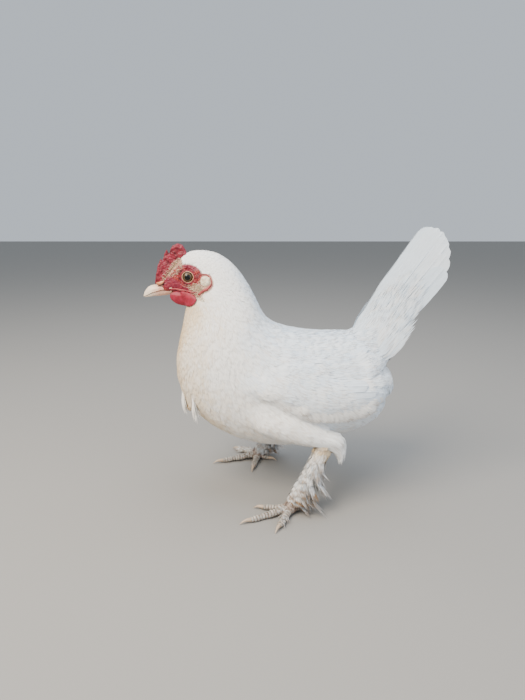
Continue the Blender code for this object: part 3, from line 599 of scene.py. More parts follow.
def inPatches(bird, patches):
    # How far each place is inside any of the patches, seen from the side.
    best = np.zeros(len(bird))
    for centreX, centreZ, radiusX, radiusZ, turn in patches:
        ahead, up = spun(bird[:, 0] - centreX, bird[:, 2] - centreZ, -turn)
        gone = np.sqrt((ahead / radiusX) ** 2 + (up / radiusZ) ** 2)
        best = np.maximum(best, np.clip((1 - gone) / faceKeys["softEdge"] + 0.5, 0, 1))
    return best


def bareness(bird):
    return inPatches(bird, faceKeys["patches"]) * smoothStep(3, 6, np.abs(bird[:, 1]))


def paleness(bird):
    return inPatches(bird, faceKeys["palePatches"])


def coatDepth(bird):
    # How far the skin lies inside the coat's outer form.
    x, y, z = bird.T
    head = smoothStep(-60, -85, x) * smoothStep(165, 190, z)
    leg = smoothStep(64, 54, z) * smoothStep(24, 32, np.abs(y))
    depth = skinShape["bodyDepth"] * (1 - head) + skinShape["headDepth"] * head
    depth = depth * (1 - leg)
    return depth * (1 - np.maximum(bareness(bird), 0.7 * paleness(bird))) * smoothStep(-131, -124, x)


def sculptFace(bird, normals, bare):
    # Beads and folds of the bare skin, and rings round the eye.
    moved = bird.copy()
    for index in np.nonzero(bare > 0.02)[0]:
        x, y, z = bird[index]
        place = Vector((x, y, z))
        beads = 0.5 - noise.voronoi(place / faceKeys["beadSize"])[0][0]
        folds = noise.noise(place / faceKeys["foldSize"])
        gone = math.hypot(x - eyeKey[0], z - eyeKey[2])
        rings = math.sin(2 * math.pi * (gone + 0.5 * folds) / faceKeys["ringGap"])
        rings *= max(0.0, 1 - abs(gone - faceKeys["ringPlace"]) / faceKeys["ringReach"])
        lift = faceKeys["beadHeight"] * beads + faceKeys["foldHeight"] * folds + faceKeys["ringHeight"] * rings
        moved[index] += normals[index] * lift * bare[index]
    return moved


def refine(item, wanted, cuts):
    # Divides the faces of the wanted places only.
    shape = bmesh.new()
    shape.from_mesh(item.data)
    chosen = wanted(inBird([vertex.co for vertex in shape.verts]))
    shape.verts.ensure_lookup_table()
    edges = [edge for edge in shape.edges if chosen[edge.verts[0].index] and chosen[edge.verts[1].index]]
    bmesh.ops.subdivide_edges(shape, edges=edges, cuts=cuts, use_grid_fill=True, smooth=0.0)
    shape.to_mesh(item.data)
    shape.free()


def buildSkin():
    body = coatForm.copy()
    body.data = coatForm.data.copy()
    body.hide_render = False
    bpy.context.scene.collection.objects.link(body)
    parts = [body]
    nodes = ["torso", "neck", "head"]
    for name in sides:
        parts.append(tube("shank", *shankPath(name), 16))
        parts.append(addBall("toeBall", 24, 16, skinShape["toeBall"], legPlace("balls", name)))
        parts += [tube("toe", *toePath(name, toe), 16) for toe in legs["toes"][name]]
        nodes += [f"thigh_{name}", f"shank_{name}", f"foot_{name}"]
    skin = joinPieces("skin", parts)
    useModifier(skin, "REMESH", mode="VOXEL", voxel_size=skinShape["voxel"] * mm)
    useModifier(skin, "SMOOTH", factor=0.5, iterations=skinShape["smoothing"])
    refine(skin, lambda bird: np.maximum(bareness(bird), paleness(bird)) > 0.01, skinShape["faceCuts"])
    bird, normals = getBird(skin), readVertices(skin.data, "normal")
    bare, pale, livid = bareness(bird), paleness(bird), inPatches(bird, faceKeys["lividPatches"])
    bird = bird - normals * coatDepth(bird)[:, None]
    bird = sculptFace(bird, normals, np.maximum(bare, 0.4 * pale))
    bird[:, 2] = np.maximum(bird[:, 2], 0.0)
    setBird(skin, bird)
    scaly = smoothStep(60, 50, bird[:, 2]) * smoothStep(24, 30, np.abs(bird[:, 1]))
    for key, values in (("bare", bare), ("pale", pale), ("scaly", scaly), ("livid", livid)):
        layer = skin.data.attributes.new(key, "FLOAT", "POINT")
        layer.data.foreach_set("value", values.astype(np.float32))
    return finishPiece(skin, bareSkin, "white_feather", *nodes)


skin = buildSkin()
print("skin", len(skin.data.polygons))

# Feathers. A feather is a bundle of flat locks that fan out from one root, each a closed sliver.
# A template holds across (in half widths), along (0 to 1), height (mm) and the faces.

lockKinds = {
    # Locks of a feather, and how wide a feather has that many.
    "sizes": ((3, 0.0, 3.0), (4, 3.0, 4.4), (5, 4.4, 6.0), (7, 6.0, 99)),
    "shapes": 5, "halfShare": 0.66,
    # Where a lock's rings of points are, where it is widest, and how far it strays aside and up.
    "rings": (0.0, 0.38, 0.74), "widest": 0.4, "drift": 0.12, "rise": 0.07, "edge": 0.05,
}


def lockBundle(count, ridge=0.14, ragged=0.12, roundness=0.3, overlap=1.5, pointed=0.4):
    rings, widest, edge = lockKinds["rings"], lockKinds["widest"], lockKinds["edge"]
    across, along, height, faces = [], [], [], []
    for lock in range(count):
        place = -1 + (2 * lock + 1) / count if count > 1 else 0.0
        half = overlap / count
        reach = 1 - ragged * random.random() - roundness * abs(place) ** 2.2
        drift, rise = (random.uniform(-lockKinds[key], lockKinds[key]) for key in ("drift", "rise"))
        start = len(across)
        for ring in rings:
            opened = min(ring / widest, 1.0)
            middle = place * (0.45 + 0.55 * opened) + drift * ring
            wide = half * (0.75 + 0.25 * opened) * (1 - pointed * max(ring - widest, 0))
            across += [middle - wide, middle, middle + wide]
            along += [ring * reach] * 3
            height += [rise - edge, rise + ridge, rise - edge]
        across.append(place + drift)
        along.append(reach)
        height.append(rise)
        faces.append((start, start + 2, start + 1))
        for ring in range(len(rings) - 1):
            a = start + 3 * ring
            faces += [(a, a + 1, a + 4), (a, a + 4, a + 3), (a + 1, a + 2, a + 5), (a + 1, a + 5, a + 4),
                      (a + 2, a, a + 3), (a + 2, a + 3, a + 5)]
        a = start + 3 * (len(rings) - 1)
        tip = a + 3
        faces += [(a, a + 1, tip), (a + 1, a + 2, tip), (a + 2, a, tip)]
    return np.array(across), np.array(along), np.array(height), np.array(faces)


def bladeVane(rows=22, notch=0.05, rootWidth=0.5, tipStart=0.86, shaft=0.42, thickness=0.34, camber=0.25):
    # One broad vane with a raised shaft, for the flight and tail feathers.
    steps = (-1.0, -0.62, -0.3, -0.05, 0.0, 0.05, 0.3, 0.62, 1.0)
    across, along, height, faces = [], [], [], []
    for row in range(rows + 1):
        part = row / rows
        wide = rootWidth + (1 - rootWidth) * min(part / 0.35, 1.0)
        if part > tipStart:
            fall = (part - tipStart) / (1 - tipStart)
            wide *= math.sqrt(max(1 - fall ** 2, 0.006))
        edges = [1 - notch * random.random() for _ in range(2)]
        for step in steps:
            trim = 1.0 if abs(step) < 0.6 else edges[step > 0]
            centre = abs(step) < 0.1
            bend = 0.04 * abs(step) if part < 0.9 else 0.0
            across.append(step * (wide * trim if not centre else 1.0 - 0.5 * part))
            along.append(max(part - bend, 0.0))
            height.append(shaft * (1 - part) + 0.1 if step == 0.0 else -camber * step ** 2)
    count, width = len(across), len(steps)
    across += across[:]
    along += along[:]
    height += [value - thickness for value in height]
    for row in range(rows):
        for step in range(width - 1):
            a = row * width + step
            b, c, d = a + 1, a + width + 1, a + width
            faces += [(a, b, c), (a, c, d), (count + a, count + c, count + b),
                      (count + a, count + d, count + c)]
    rim = list(range(width)) + [row * width + width - 1 for row in range(1, rows + 1)]
    rim += [rows * width + step for step in range(width - 2, -1, -1)]
    rim += [row * width for row in range(rows - 1, 0, -1)]
    for near, far in zip(rim, rim[1:] + rim[:1]):
        faces += [(near, count + near, count + far), (near, count + far, far)]
    return np.array(across), np.array(along), np.array(height), np.array(faces)


def march(roots, headings, lengths, steps=5):
    # Spines that start on the form and follow it along their headings.
    places = np.empty((len(roots), steps + 1, 3))
    normals = np.empty_like(places)
    for number, (root, heading, length) in enumerate(zip(roots, headings, lengths)):
        point, normal, _, _ = formTree.find_nearest(Vector(root))
        way = Vector(heading)
        way = (way - normal * way.dot(normal)).normalized()
        for step in range(steps + 1):
            places[number, step], normals[number, step] = point, normal
            ahead, normal, _, _ = formTree.find_nearest(point + way * (length * mm / steps))
            way = ahead - point
            way = (way - normal * way.dot(normal)).normalized()
            point = ahead
    # Normals are evened out along each spine, so that a feather bridges the small dips under it.
    smooth = normals.copy()
    smooth[:, 1:-1] = (normals[:, :-2] + 2 * normals[:, 1:-1] + normals[:, 2:]) / 4
    return places, smooth


def onCoat(place):
    # The form's surface nearest to a place, in metres.
    return formTree.find_nearest(at(*place))[0]


def dress(places, normals, template, halfWidths, depths, stands, arch=0.12):
    # Points of one template laid along many spines. Sizes are in millimetres.
    across, along, height, _ = template
    halfWidths, depths, stands = (each(values, len(places))[:, None] for values in (halfWidths, depths, stands))
    steps = places.shape[1] - 1
    slot = np.clip((along * steps).astype(int), 0, steps - 1)
    part = (along * steps - slot)[None, :, None]
    spots, up = (rows[:, slot] * (1 - part) + rows[:, slot + 1] * part for rows in (places, normals))
    way = places[:, slot + 1] - places[:, slot]
    way /= np.maximum(np.linalg.norm(way, axis=2, keepdims=True), 1e-9)
    up -= way * (up * way).sum(axis=2, keepdims=True)
    up /= np.maximum(np.linalg.norm(up, axis=2, keepdims=True), 1e-9)
    wide = across * halfWidths
    rise = height - depths * (1 - along) ** 1.25
    rise = rise + stands * along ** 1.6 - arch * across ** 2 * halfWidths ** 0.5
    return spots + (np.cross(way, up) * wide[:, :, None] + up * rise[:, :, None]) * mm


def curveSpines(roots, middles, ends, centre=None, steps=6):
    # Spines along curves from roots to ends that the middles pull on. Their faces turn from the centre.
    part = np.linspace(0, 1, steps + 1)[None, :, None]
    roots, middles, ends = (np.asarray(item, float)[:, None] for item in (roots, middles, ends))
    bird = roots * (1 - part) ** 2 + middles * 2 * part * (1 - part) + ends * part ** 2
    bird[:, :, 2] = np.maximum(bird[:, :, 2], 0.6)
    core = bird.mean(axis=0, keepdims=True) if centre is None else np.asarray(centre, float)[None]
    normals = bird - core
    normals /= np.maximum(np.linalg.norm(normals, axis=2, keepdims=True), 1e-6)
    return inFrame(bird), normals


# The middle line of the body in x and z, for an unwrap of the skin: along the line and round it.
bodyLine = np.array(((96, 101), (66, 108), (27, 104), (-17, 103), (-42, 108), (-64, 121), (-78, 140),
                     (-84, 160), (-85, 179), (-87, 195), (-92, 205), (-103, 209), (-130, 196)), float)


def unwrap(bird):
    starts, ends = bodyLine[:-1], bodyLine[1:]
    spans = np.linalg.norm(ends - starts, axis=1)
    before = np.concatenate(([0], np.cumsum(spans)[:-1]))
    flat = bird[:, None, [0, 2]] - starts[None]
    ways = (ends - starts) / spans[:, None]
    part = np.clip((flat * ways[None]).sum(axis=2), 0, spans[None])
    gap = np.linalg.norm(flat - ways[None] * part[:, :, None], axis=2)
    best = gap.argmin(axis=1)
    rows = np.arange(len(bird))
    along = (before[best] + part[rows, best]) / spans.sum()
    off = flat[rows, best] - ways[best] * part[rows, best][:, None]
    up = off[:, 0] * ways[best][:, 1] - off[:, 1] * ways[best][:, 0]
    turn = np.arctan2(bird[:, 1], up) / (2 * math.pi) + 0.5
    return np.stack((0.01 + 0.98 * along, 0.01 + 0.98 * turn), axis=1)


# In the unwrap, each feather has a small patch of its own round its root.
patchHalf, patchLength = 0.0013, 0.0026


def coatPiece(name, batches, material, slot, *nodes):
    # Batches are (points, template, half widths, lengths, tones, tip colour shares, roots in the unwrap).
    points, faces, maps = [], [], {"featherMap": [], "OFBake": []}
    marks = {"tone": [], "reach": [], "wear": []}
    offset = 0
    for spots, template, halfWidths, lengths, tones, wearsAndShade, roots in batches:
        across, along, _, triangles = template
        many, size = spots.shape[:2]
        points.append(spots.reshape(-1, 3))
        faces.append((triangles + offset + np.arange(many)[:, None, None] * size).reshape(-1, 3))
        acrossSpots, alongSpots = (np.repeat(values[None], many, axis=0) for values in (across, along))
        # The map across and along each feather starts at a place of its own.
        laid = np.stack([values * each(sizes, many)[:, None] / mapSpan + chance.random((many, 1))
                         for values, sizes in ((acrossSpots, halfWidths), (alongSpots, lengths))], axis=2)
        patch = roots[:, None, :] + np.stack((acrossSpots * patchHalf, (alongSpots - 0.5) * patchLength), axis=2)
        for key, values in (("featherMap", laid), ("OFBake", patch)):
            maps[key].append(values.reshape(-1, 2))
        for key, values in (("tone", np.repeat(each(tones, many), size)), ("reach", alongSpots.ravel()),
                            ("wear", np.repeat(each(wearsAndShade, many), size))):
            marks[key].append(values)
        offset += many * size
    points, faces = np.concatenate(points), np.concatenate(faces)
    points[:, 2] = np.maximum(points[:, 2], 0.0)
    mesh = bpy.data.meshes.new(name)
    mesh.vertices.add(len(points))
    mesh.loops.add(len(faces) * 3)
    mesh.polygons.add(len(faces))
    mesh.vertices.foreach_set("co", points.astype(np.float32).ravel())
    mesh.polygons.foreach_set("loop_start", np.arange(0, len(faces) * 3, 3, dtype=np.int32))
    mesh.loops.foreach_set("vertex_index", faces.astype(np.int32).ravel())
    mesh.update(calc_edges=True)
    for key, values in maps.items():
        layer = mesh.uv_layers.new(name=key)
        layer.data.foreach_set("uv", np.concatenate(values)[faces.ravel()].astype(np.float32).ravel())
    for key, values in marks.items():
        layer = mesh.attributes.new(key, "FLOAT", "POINT")
        layer.data.foreach_set("value", np.concatenate(values).astype(np.float32))
    mesh.validate()
    item = addObject(name, mesh)
    finishPiece(item, material, slot, *nodes)
    mesh.set_sharp_from_angle(angle=math.radians(50))
    print(name, len(faces))


# Lie of the coat: place (x, |y|, z), heading (x, outwards, z), length, width, stand of the tips, tone.
# Tone goes from 0, white with a painted bluish cast of sky light, over 0.5, clean white, to 1, stained cream.
coat = {
    "sideGap": 0.39, "endGap": 0.2, "depthShare": 0.08, "headingWander": 6.0, "candidates": 130000,
    "keys": (
        (-124, 5, 213, 0.5, 0.2, 0.85, 3.2, 1.3, 0.1, 0.6), (-114, 9, 219, 0.8, 0.1, 0.5, 3.8, 1.5, 0.1, 0.5),
        (-100, 0, 230, 1, 0, 0, 6, 2.0, 0.1, 0.4), (-84, 8, 228, 1, 0, -0.2, 8, 2.3, 0.1, 0.4),
        (-72, 0, 224, 0.8, 0, -0.6, 10, 2.6, 0.1, 0.4), (-58, 0, 210, 0.5, 0, -0.85, 13, 2.8, 0.2, 0.25),
        (-47, 0, 192, 0.4, 0, -0.9, 16, 3.2, 0.2, 0.25), (-91, 15, 217, 0.95, 0, -0.15, 5, 1.8, 0.1, 0.5),
        (-80, 17, 205, 0.75, 0, -0.65, 8, 2.3, 0.1, 0.5), (-86, 17, 192, 0.45, 0, -0.9, 8, 2.2, 0.1, 0.65),
        (-104, 8, 181, 0.1, 0, -1, 7, 2.2, 0.1, 0.95), (-96, 16, 182, 0.15, 0, -1, 8, 2.3, 0.1, 0.9),
        (-112, 0, 160, -0.1, 0, -1, 11, 2.9, 0.2, 1.0), (-80, 24, 172, 0.35, 0, -0.93, 14, 3.0, 0.2, 0.65),
        (-62, 22, 188, 0.55, 0, -0.83, 14, 3.0, 0.2, 0.45), (-52, 30, 165, 0.6, 0, -0.8, 17, 3.6, 0.2, 0.3),
        (-92, 28, 145, 0.15, 0, -1, 14, 3.5, 0.2, 0.74), (-119, 0, 125, 0, 0, -1, 14, 3.8, 0.3, 0.95),
        (-70, 38, 140, 0.4, 0, -0.92, 16, 4.0, 0.3, 0.5), (-100, 30, 112, 0.2, 0, -1, 15, 4.2, 0.3, 0.8),
        (-114, 8, 96, 0.25, 0, -0.95, 14, 4.2, 0.4, 0.95), (-98, 20, 80, 0.6, 0, -0.8, 14, 4.4, 0.3, 0.85),
        (-78, 40, 110, 0.45, 0, -0.9, 17, 5.0, 0.3, 0.66), (-52, 47, 132, 0.75, 0, -0.6, 17, 6.0, 0.3, 0.3),
        (-40, 30, 172, 0.75, 0, -0.6, 20, 4.6, 0.2, 0.2), (-25, 0, 165, 0.95, 0, -0.3, 22, 4.8, 0.2, 0.15),
        (-20, 40, 150, 0.95, 0, -0.3, 22, 6.2, 0.2, 0.2), (10, 0, 158, 1, 0, 0, 24, 5.0, 0.2, 0.15),
        (35, 0, 160, 0.92, 0, 0.38, 24, 4.8, 0.2, 0.15), (20, 40, 145, 1, 0, -0.05, 24, 5.6, 0.2, 0.2),
        (60, 20, 158, 0.7, 0, 0.7, 26, 4.8, 0.2, 0.2), (52, 34, 140, 0.95, 0, 0.1, 24, 5.6, 0.3, 0.25),
        (75, 20, 130, 0.8, 0, -0.2, 20, 6.0, 0.8, 0.3), (84, 0, 112, 0.3, 0, -0.95, 18, 6.0, 1.6, 0.25),
        (80, 12, 98, 0.1, 0, -1, 18, 6.0, 1.6, 0.25), (72, 14, 76, 0.6, 0, -0.3, 18, 6.0, 1.0, 0.3),
        (55, 30, 75, 0.8, 0, -0.6, 20, 6.6, 0.6, 0.3), (40, 0, 58, 1, 0, 0.15, 20, 6.6, 0.4, 0.5),
        (0, 0, 47, 1, 0, 0, 20, 6.6, 0.3, 0.55), (-40, 0, 48, 1, 0, -0.05, 20, 6.0, 0.3, 0.65),
        (-75, 0, 62, 0.85, 0, -0.5, 18, 5.6, 0.3, 0.75), (-60, 35, 75, 0.75, 0, -0.6, 18, 5.6, 0.3, 0.68),
        (-40, 50, 105, 0.8, 0, -0.55, 19, 6.6, 0.4, 0.5), (-20, 52, 122, 0.92, 0, -0.35, 20, 8.0, 0.3, 0.25),
        (10, 55, 110, 0.93, 0, -0.32, 22, 8.6, 0.4, 0.27), (20, 52, 92, 0.85, 0, -0.5, 22, 8.0, 0.5, 0.3),
        (40, 48, 100, 0.93, 0, -0.3, 22, 8.4, 0.4, 0.27), (65, 38, 105, 0.9, 0, -0.4, 20, 7.6, 0.6, 0.25),
        (-35, 46, 88, 0.8, 0, -0.6, 18, 5.6, 0.3, 0.66), (-15, 48, 78, 0.8, 0, -0.6, 18, 5.2, 0.3, 0.64),
        (8, 46, 62, 0.75, 0, -0.65, 15, 4.4, 0.3, 0.66), (0, 30, 60, 0.9, 0, -0.4, 18, 5.6, 0.3, 0.55),
        (62, 14, 178, 0.56, 0, 0.83, 28, 5.6, 0.2, 0.2), (85, 14, 165, 0.56, 0, 0.83, 28, 5.6, 0.3, 0.25),
        (95, 0, 150, 0.6, 0, 0.8, 22, 6.0, 0.5, 0.5), (74, 6, 198, 0.56, 0, 0.83, 26, 5.2, 0.1, 0.2),
    ),
    # Where each piece of the coat starts along the body's middle line, from the beak to the rump.
    "pieces": {"coatHead": 0.84, "coatNape": 0.76, "coatNeck": 0.66, "coatBreast": 0.57, "coatShoulders": 0.47,
               "coatSides": 0.36, "coatBack": 0.24, "coatSaddle": 0.13, "coatRump": -0.01},
}


def lie(bird):
    # Blends the keys nearest to each place.
    keys = np.array(coat["keys"], float)
    folded = bird.copy()
    folded[:, 1] = np.abs(folded[:, 1])
    away = ((folded[:, None] - keys[None, :, :3]) ** 2).sum(axis=2) + 9.0
    weights = away ** -2.2
    weights /= weights.sum(axis=1, keepdims=True)
    blend = weights @ keys[:, 3:]
    heading = blend[:, :3].copy()
    heading[:, 1] *= np.sign(bird[:, 1])
    return heading, blend[:, 3], blend[:, 4], blend[:, 5], blend[:, 6]


def sampleForm(count):
    # Random places spread evenly over the form by area.
    mesh = coatForm.data
    mesh.calc_loop_triangles()
    corners = np.empty(len(mesh.loop_triangles) * 3, dtype=np.int32)
    mesh.loop_triangles.foreach_get("vertices", corners)
    points = readVertices(mesh)[corners.reshape(-1, 3)]
    areas = np.linalg.norm(np.cross(points[:, 1] - points[:, 0], points[:, 2] - points[:, 0]), axis=1)
    chosen = chance.choice(len(points), count, p=areas / areas.sum())
    first, second = chance.random(count), chance.random(count)
    flip = first + second > 1
    first[flip], second[flip] = 1 - first[flip], 1 - second[flip]
    a, b, c = (points[chosen][:, corner] for corner in range(3))
    return a + first[:, None] * (b - a) + second[:, None] * (c - a)


def thin(bird, headings, sideGaps, endGaps):
    # Keeps places whose neighbours stand a gap apart, wider along the feather than across it.
    tree = KDTree(len(bird))
    for index, place in enumerate(bird):
        tree.insert(place, index)
    tree.balance()
    alive = np.ones(len(bird), bool)
    kept = []
    for index, place in enumerate(bird):
        if not alive[index]:
            continue
        kept.append(index)
        near = np.array([found[1] for found in tree.find_range(place, endGaps[index])])
        off = bird[near] - place
        ahead = off @ headings[index]
        aside = (off ** 2).sum(axis=1) - ahead ** 2
        inside = (ahead / endGaps[index]) ** 2 + aside / sideGaps[index] ** 2 < 1
        alive[near[inside]] = False
    return np.array(kept)


def openSkin(bird):
    # Where the coat leaves the skin bare: the face, the ear lobe and the beak.
    covered = np.maximum(bareness(bird), inPatches(bird, [faceKeys["lobe"]]))
    away = np.maximum(smoothStep(3, 6, np.abs(bird[:, 1])), smoothStep(-106, -110, bird[:, 0]))
    return np.maximum(covered, paleness(bird) * away) < 0.4


def coatRoots():
    bird = inBird(sampleForm(coat["candidates"]))
    heading, length, width, stand, tone = lie(bird)
    heading = heading / np.linalg.norm(heading, axis=1, keepdims=True)
    tips = bird + heading * length[:, None] * 0.55
    keep = np.nonzero(openSkin(bird) & openSkin(tips) & (bird[:, 0] > -127))[0]
    sideGaps = coat["sideGap"] * width
    endGaps = np.maximum(coat["endGap"] * length, sideGaps)
    keep = keep[thin(bird[keep], heading[keep], sideGaps[keep], endGaps[keep])]
    return bird[keep], heading[keep], length[keep], width[keep], stand[keep], tone[keep]


def bundles(places, normals, lengths, widths, depths, stands, tones, wearsAndShade, uv, settings=None, arch=0.12):
    # Batches of lock bundles, more locks to a wider feather, each in one of a few shapes.
    lengths, widths, depths, stands, tones, wearsAndShade = (
        each(values, len(places)) for values in (lengths, widths, depths, stands, tones, wearsAndShade))
    shapes = chance.integers(0, lockKinds["shapes"], len(places))
    batches = []
    for count, narrowest, widest in lockKinds["sizes"]:
        for shape in range(lockKinds["shapes"]):
            chosen = (widths >= narrowest) & (widths < widest) & (shapes == shape)
            if not chosen.any():
                continue
            template = lockBundle(count, **(settings or {}))
            halves = widths[chosen] * lockKinds["halfShare"]
            points = dress(places[chosen], normals[chosen], template, halves, depths[chosen], stands[chosen],
                           arch)
            batches.append((points, template, halves, lengths[chosen], tones[chosen], wearsAndShade[chosen],
                            uv[chosen]))
    return batches


def layFeathers(roots, headings, lengths, widths, depths, stands, tones, wearsAndShade, settings, arch):
    # Feathers that start on the coat's form and follow it.
    places, normals = march(roots, headings, lengths)
    return bundles(places, normals, lengths, widths, depths, stands, tones, wearsAndShade, unwrap(inBird(roots)),
                   settings, arch)


def buildCoat():
    bird, heading, length, width, stand, tone = coatRoots()
    many = len(bird)
    heading += chance.normal(0, math.radians(coat["headingWander"]), (many, 3))
    length = length * chance.uniform(0.85, 1.15, many)
    places, normals = march(inFrame(bird), heading, length)
    uv = unwrap(bird)
    stand = stand * chance.uniform(0.3, 1.25, many)
    tones = np.clip(tone + chance.normal(0, 0.04, many), 0, 1)
    end = 1.01
    for name, start in coat["pieces"].items():
        chosen = (uv[:, 0] >= start) & (uv[:, 0] < end)
        batches = bundles(places[chosen], normals[chosen], length[chosen], width[chosen],
                          coat["depthShare"] * length[chosen], stand[chosen], tones[chosen], 0, uv[chosen],
                          {"ridge": 0.1, "pointed": 0.7})
        coatPiece(name, batches, bodyFeather, "white_feather")
        end = start
    print("body feathers", many)


buildCoat()

# Tail: two rows of broad vanes that lean together like a tent, middle ones outermost.


def tailSpines(side, roots, tips, lifts, steps=6):
    # Spines on one side of the tent, from (a, b) roots to tips, each at its own lift.
    along, across, outwards, _ = tailFrame(side)
    origin = np.array((tail["origin"][0], side * tail["ridgeGap"], tail["origin"][1]))
    places = np.empty((len(roots), steps + 1, 3))
    normals = np.empty_like(places)
    for number, (root, tip, lift) in enumerate(zip(roots, tips, lifts)):
        for step in range(steps + 1):
            a = root[0] + (tip[0] - root[0]) * step / steps
            b = root[1] + (tip[1] - root[1]) * step / steps + 1.2 * math.sin(math.pi * step / steps)
            # The vanes' surface bows a little from front to rear.
            bow = 0.0018 * (b - 25) ** 2
            places[number, step] = at(*(origin + along * a + across * b + outwards * (lift - bow)))
            tilt = outwards + across * (0.10 + 0.0036 * (b - 25))
            normals[number, step] = tilt / np.linalg.norm(tilt)
    return places, normals


def buildTail():
    batches = []
    half = tail["halfWidth"]
    for side in sides.values():
        for number, reach in enumerate(tail["tips"]):
            root, tip = (16, 7 + 3.9 * number), (reach + 0.5, 7.5 + 4.9 * number)
            places, normals = tailSpines(side, [root], [tip], [-0.26 * number])
            shaft = tail["brightShaft"] if number in tail["brightVanes"] else tail["shaft"]
            template = bladeVane(30, notch=0.03, shaft=shaft, thickness=0.2, camber=0.05)
            points = dress(places, normals, template, half, 0, 0, 0.02)
            # The tail's root opened flat: one side left of the middle, one right.
            uv = np.array([[0.5 + side * (0.05 + root[1] / 120), 0.1 + root[0] / 160]])
            batches.append((points, template, half, tip[0] - root[0], 0.12 + 0.1 * random.random(), 0, uv))
    coatPiece("tailFeathers", batches, flightFeather, "white_feather", "tail")
    batches = []
    for side in sides.values():
        for rootA, tipA, count, nearB, farB, lift in tail["coverts"]:
            part = np.linspace(0, 1, count) + chance.uniform(-0.03, 0.03, count)
            rootB, tipB = nearB + 2 + (farB - nearB - 6) * part, nearB + (farB - nearB) * part
            reach = chance.uniform(-4, 4, count)
            roots, tips = np.stack((rootA + reach, rootB), axis=1), np.stack((tipA + reach, tipB), axis=1)
            places, normals = tailSpines(side, roots, tips, np.full(count, lift))
            # The roots start on the fleshy part and the tips lie on the vanes.
            bird = inBird(places)
            sunk = inBird([formTree.find_nearest(Vector(place))[0] for place in places[:, 0]])
            sunk[:, 1] -= side * tail["covertSink"]
            middles = (sunk + bird[:, 3]) / 2 * 0.4 + bird[:, 3] * 0.6
            places, _ = curveSpines(sunk, middles, bird[:, -1])
            batches += bundles(places, normals, np.linalg.norm(tips - roots, axis=1), 6.6, 1.8, -0.2,
                               chance.uniform(0.12, 0.3, count), 0, unwrap(inBird(places[:, 0])),
                               {"ragged": 0.14, "roundness": 0.3}, 0.08)
    coatPiece("tailCoverts", batches, bodyFeather, "white_feather")


buildTail()

# Wings: the long vanes come out from under the coat of the side, and their tips lie over the rump.
wing = {
    # Vanes from the lowest up: root and tip seen from the side, and half width.
    "vanes": (((14, 98), (66, 103), 5.6), ((12, 101), (73, 106), 5.4), ((12, 104), (78, 109), 5.2),
              ((12, 108), (80, 112), 5.0), ((12, 112), (77, 116), 5.0), ((12, 117), (71, 120), 5.2),
              ((12, 122), (63, 125), 5.4), ((12, 127), (54, 130), 5.6)),
    "rootDepth": 2.6, "tipStand": 0.7, "steps": 9,
}


def buildWings():
    for name, side in sides.items():
        batches = []
        for number, (root, tip, half) in enumerate(wing["vanes"]):
            length = math.hypot(tip[0] - root[0], tip[1] - root[1])
            heading = ((tip[0] - root[0]) / length, 0, (tip[1] - root[1]) / length)
            start = onCoat((root[0], side * 80, root[1]))
            places, normals = march([start], [heading], [length], steps=wing["steps"])
            template = bladeVane(22, thickness=0.3)
            points = dress(places, normals, template, half, wing["rootDepth"],
                           wing["tipStand"] + 0.15 * number, 0.1)
            batches.append((points, template, half, length, 0.15 + 0.1 * random.random(), 0,
                            unwrap(inBird([start]))))
        coatPiece(f"wingFeathers{name.title()}", batches, flightFeather, "white_feather", f"wing_{name}")


buildWings()

# Feathers that stand clear of the coat: breast tufts, fluff of the rump and the flank's lower edge.


def freePiece(name, groups, material):
    # Each group is (places, normals, lengths, widths, tones, tip colour shares, settings).
    batches = []
    for places, normals, lengths, widths, tones, wearsAndShade, settings in groups:
        batches += bundles(places, normals, lengths, widths, 0.4, 0, tones, wearsAndShade, unwrap(inBird(places[:, 0])),
                           settings)
    coatPiece(name, batches, material, "white_feather")


breastTufts = {
    # Root, spread of the roots and the tip of each hanging group, with its feather count.
    "groups": (((-112.5, -6, 99), 4, (-108.5, -7, 73.5), 22), ((-111.5, 8, 99), 4, (-106.5, 8, 77), 14),
               ((-101, -25, 98), 3.6, (-95.8, -28, 74.5), 22), ((-100.5, 25, 98), 3.6, (-96, 27, 78), 14)),
    "width": 2.1,
}


def buildBreastTufts():
    groups = []
    for root, spread, tip, many in breastTufts["groups"]:
        aside = chance.uniform(-1, 1, many) * spread
        drop = chance.uniform(-1, 1, many)
        roots = np.array(root) + np.stack((aside * 0.25, aside, 3 * drop), axis=1)
        ends = np.array(tip) + np.stack((aside * 0.35 + 1.3 * drop, aside * 0.9, 5 * drop + 4), axis=1)
        middles = (roots + ends) / 2 + (-2.5, math.copysign(1.5, root[1]), 0)
        places, _ = curveSpines(roots, middles, ends)
        face = np.array((-0.55, math.copysign(1.0, root[1]), 0.1)) + chance.normal(0, 0.25, (many, 3))
        normals = np.repeat(face[:, None], places.shape[1], axis=1)
        lengths = np.linalg.norm(roots - ends, axis=1)
        groups.append((places, normals, lengths, breastTufts["width"], 0.62, 0,
                       {"ragged": 0.3, "pointed": 0.9, "overlap": 1.2}))
    freePiece("breastTufts", groups, bodyFeather)


rump = {
    # Each row: height of the roots, feather length, how far the tips stand off, count, rise.
    "rows": ((124, 19, 2.6, 13, -1.0), (119, 17, 2.2, 15, -1.0), (112, 12, 1.6, 17, -1.0),
             (104, 21, 2.4, 19, -1.0), (97, 17, 2.0, 19, -1.0), (90, 13, 1.6, 19, -1.0),
             (129, 16, 1.0, 11, 0.5), (134, 20, 0.8, 11, 0.8), (139, 22, 0.6, 11, 1.0)),
    "width": 8.0, "sideWidth": 6.4,
    # Rows on the sides of the tail's root: x of the roots, lowest and highest z, length, stand, count, rise.
    "sideRows": ((46, 126, 158, 22, 3.4, 9, 0.35), (54, 124, 156, 20, 3.0, 9, 0.45),
                 (61, 126, 150, 18, 2.4, 7, 0.55)),
}


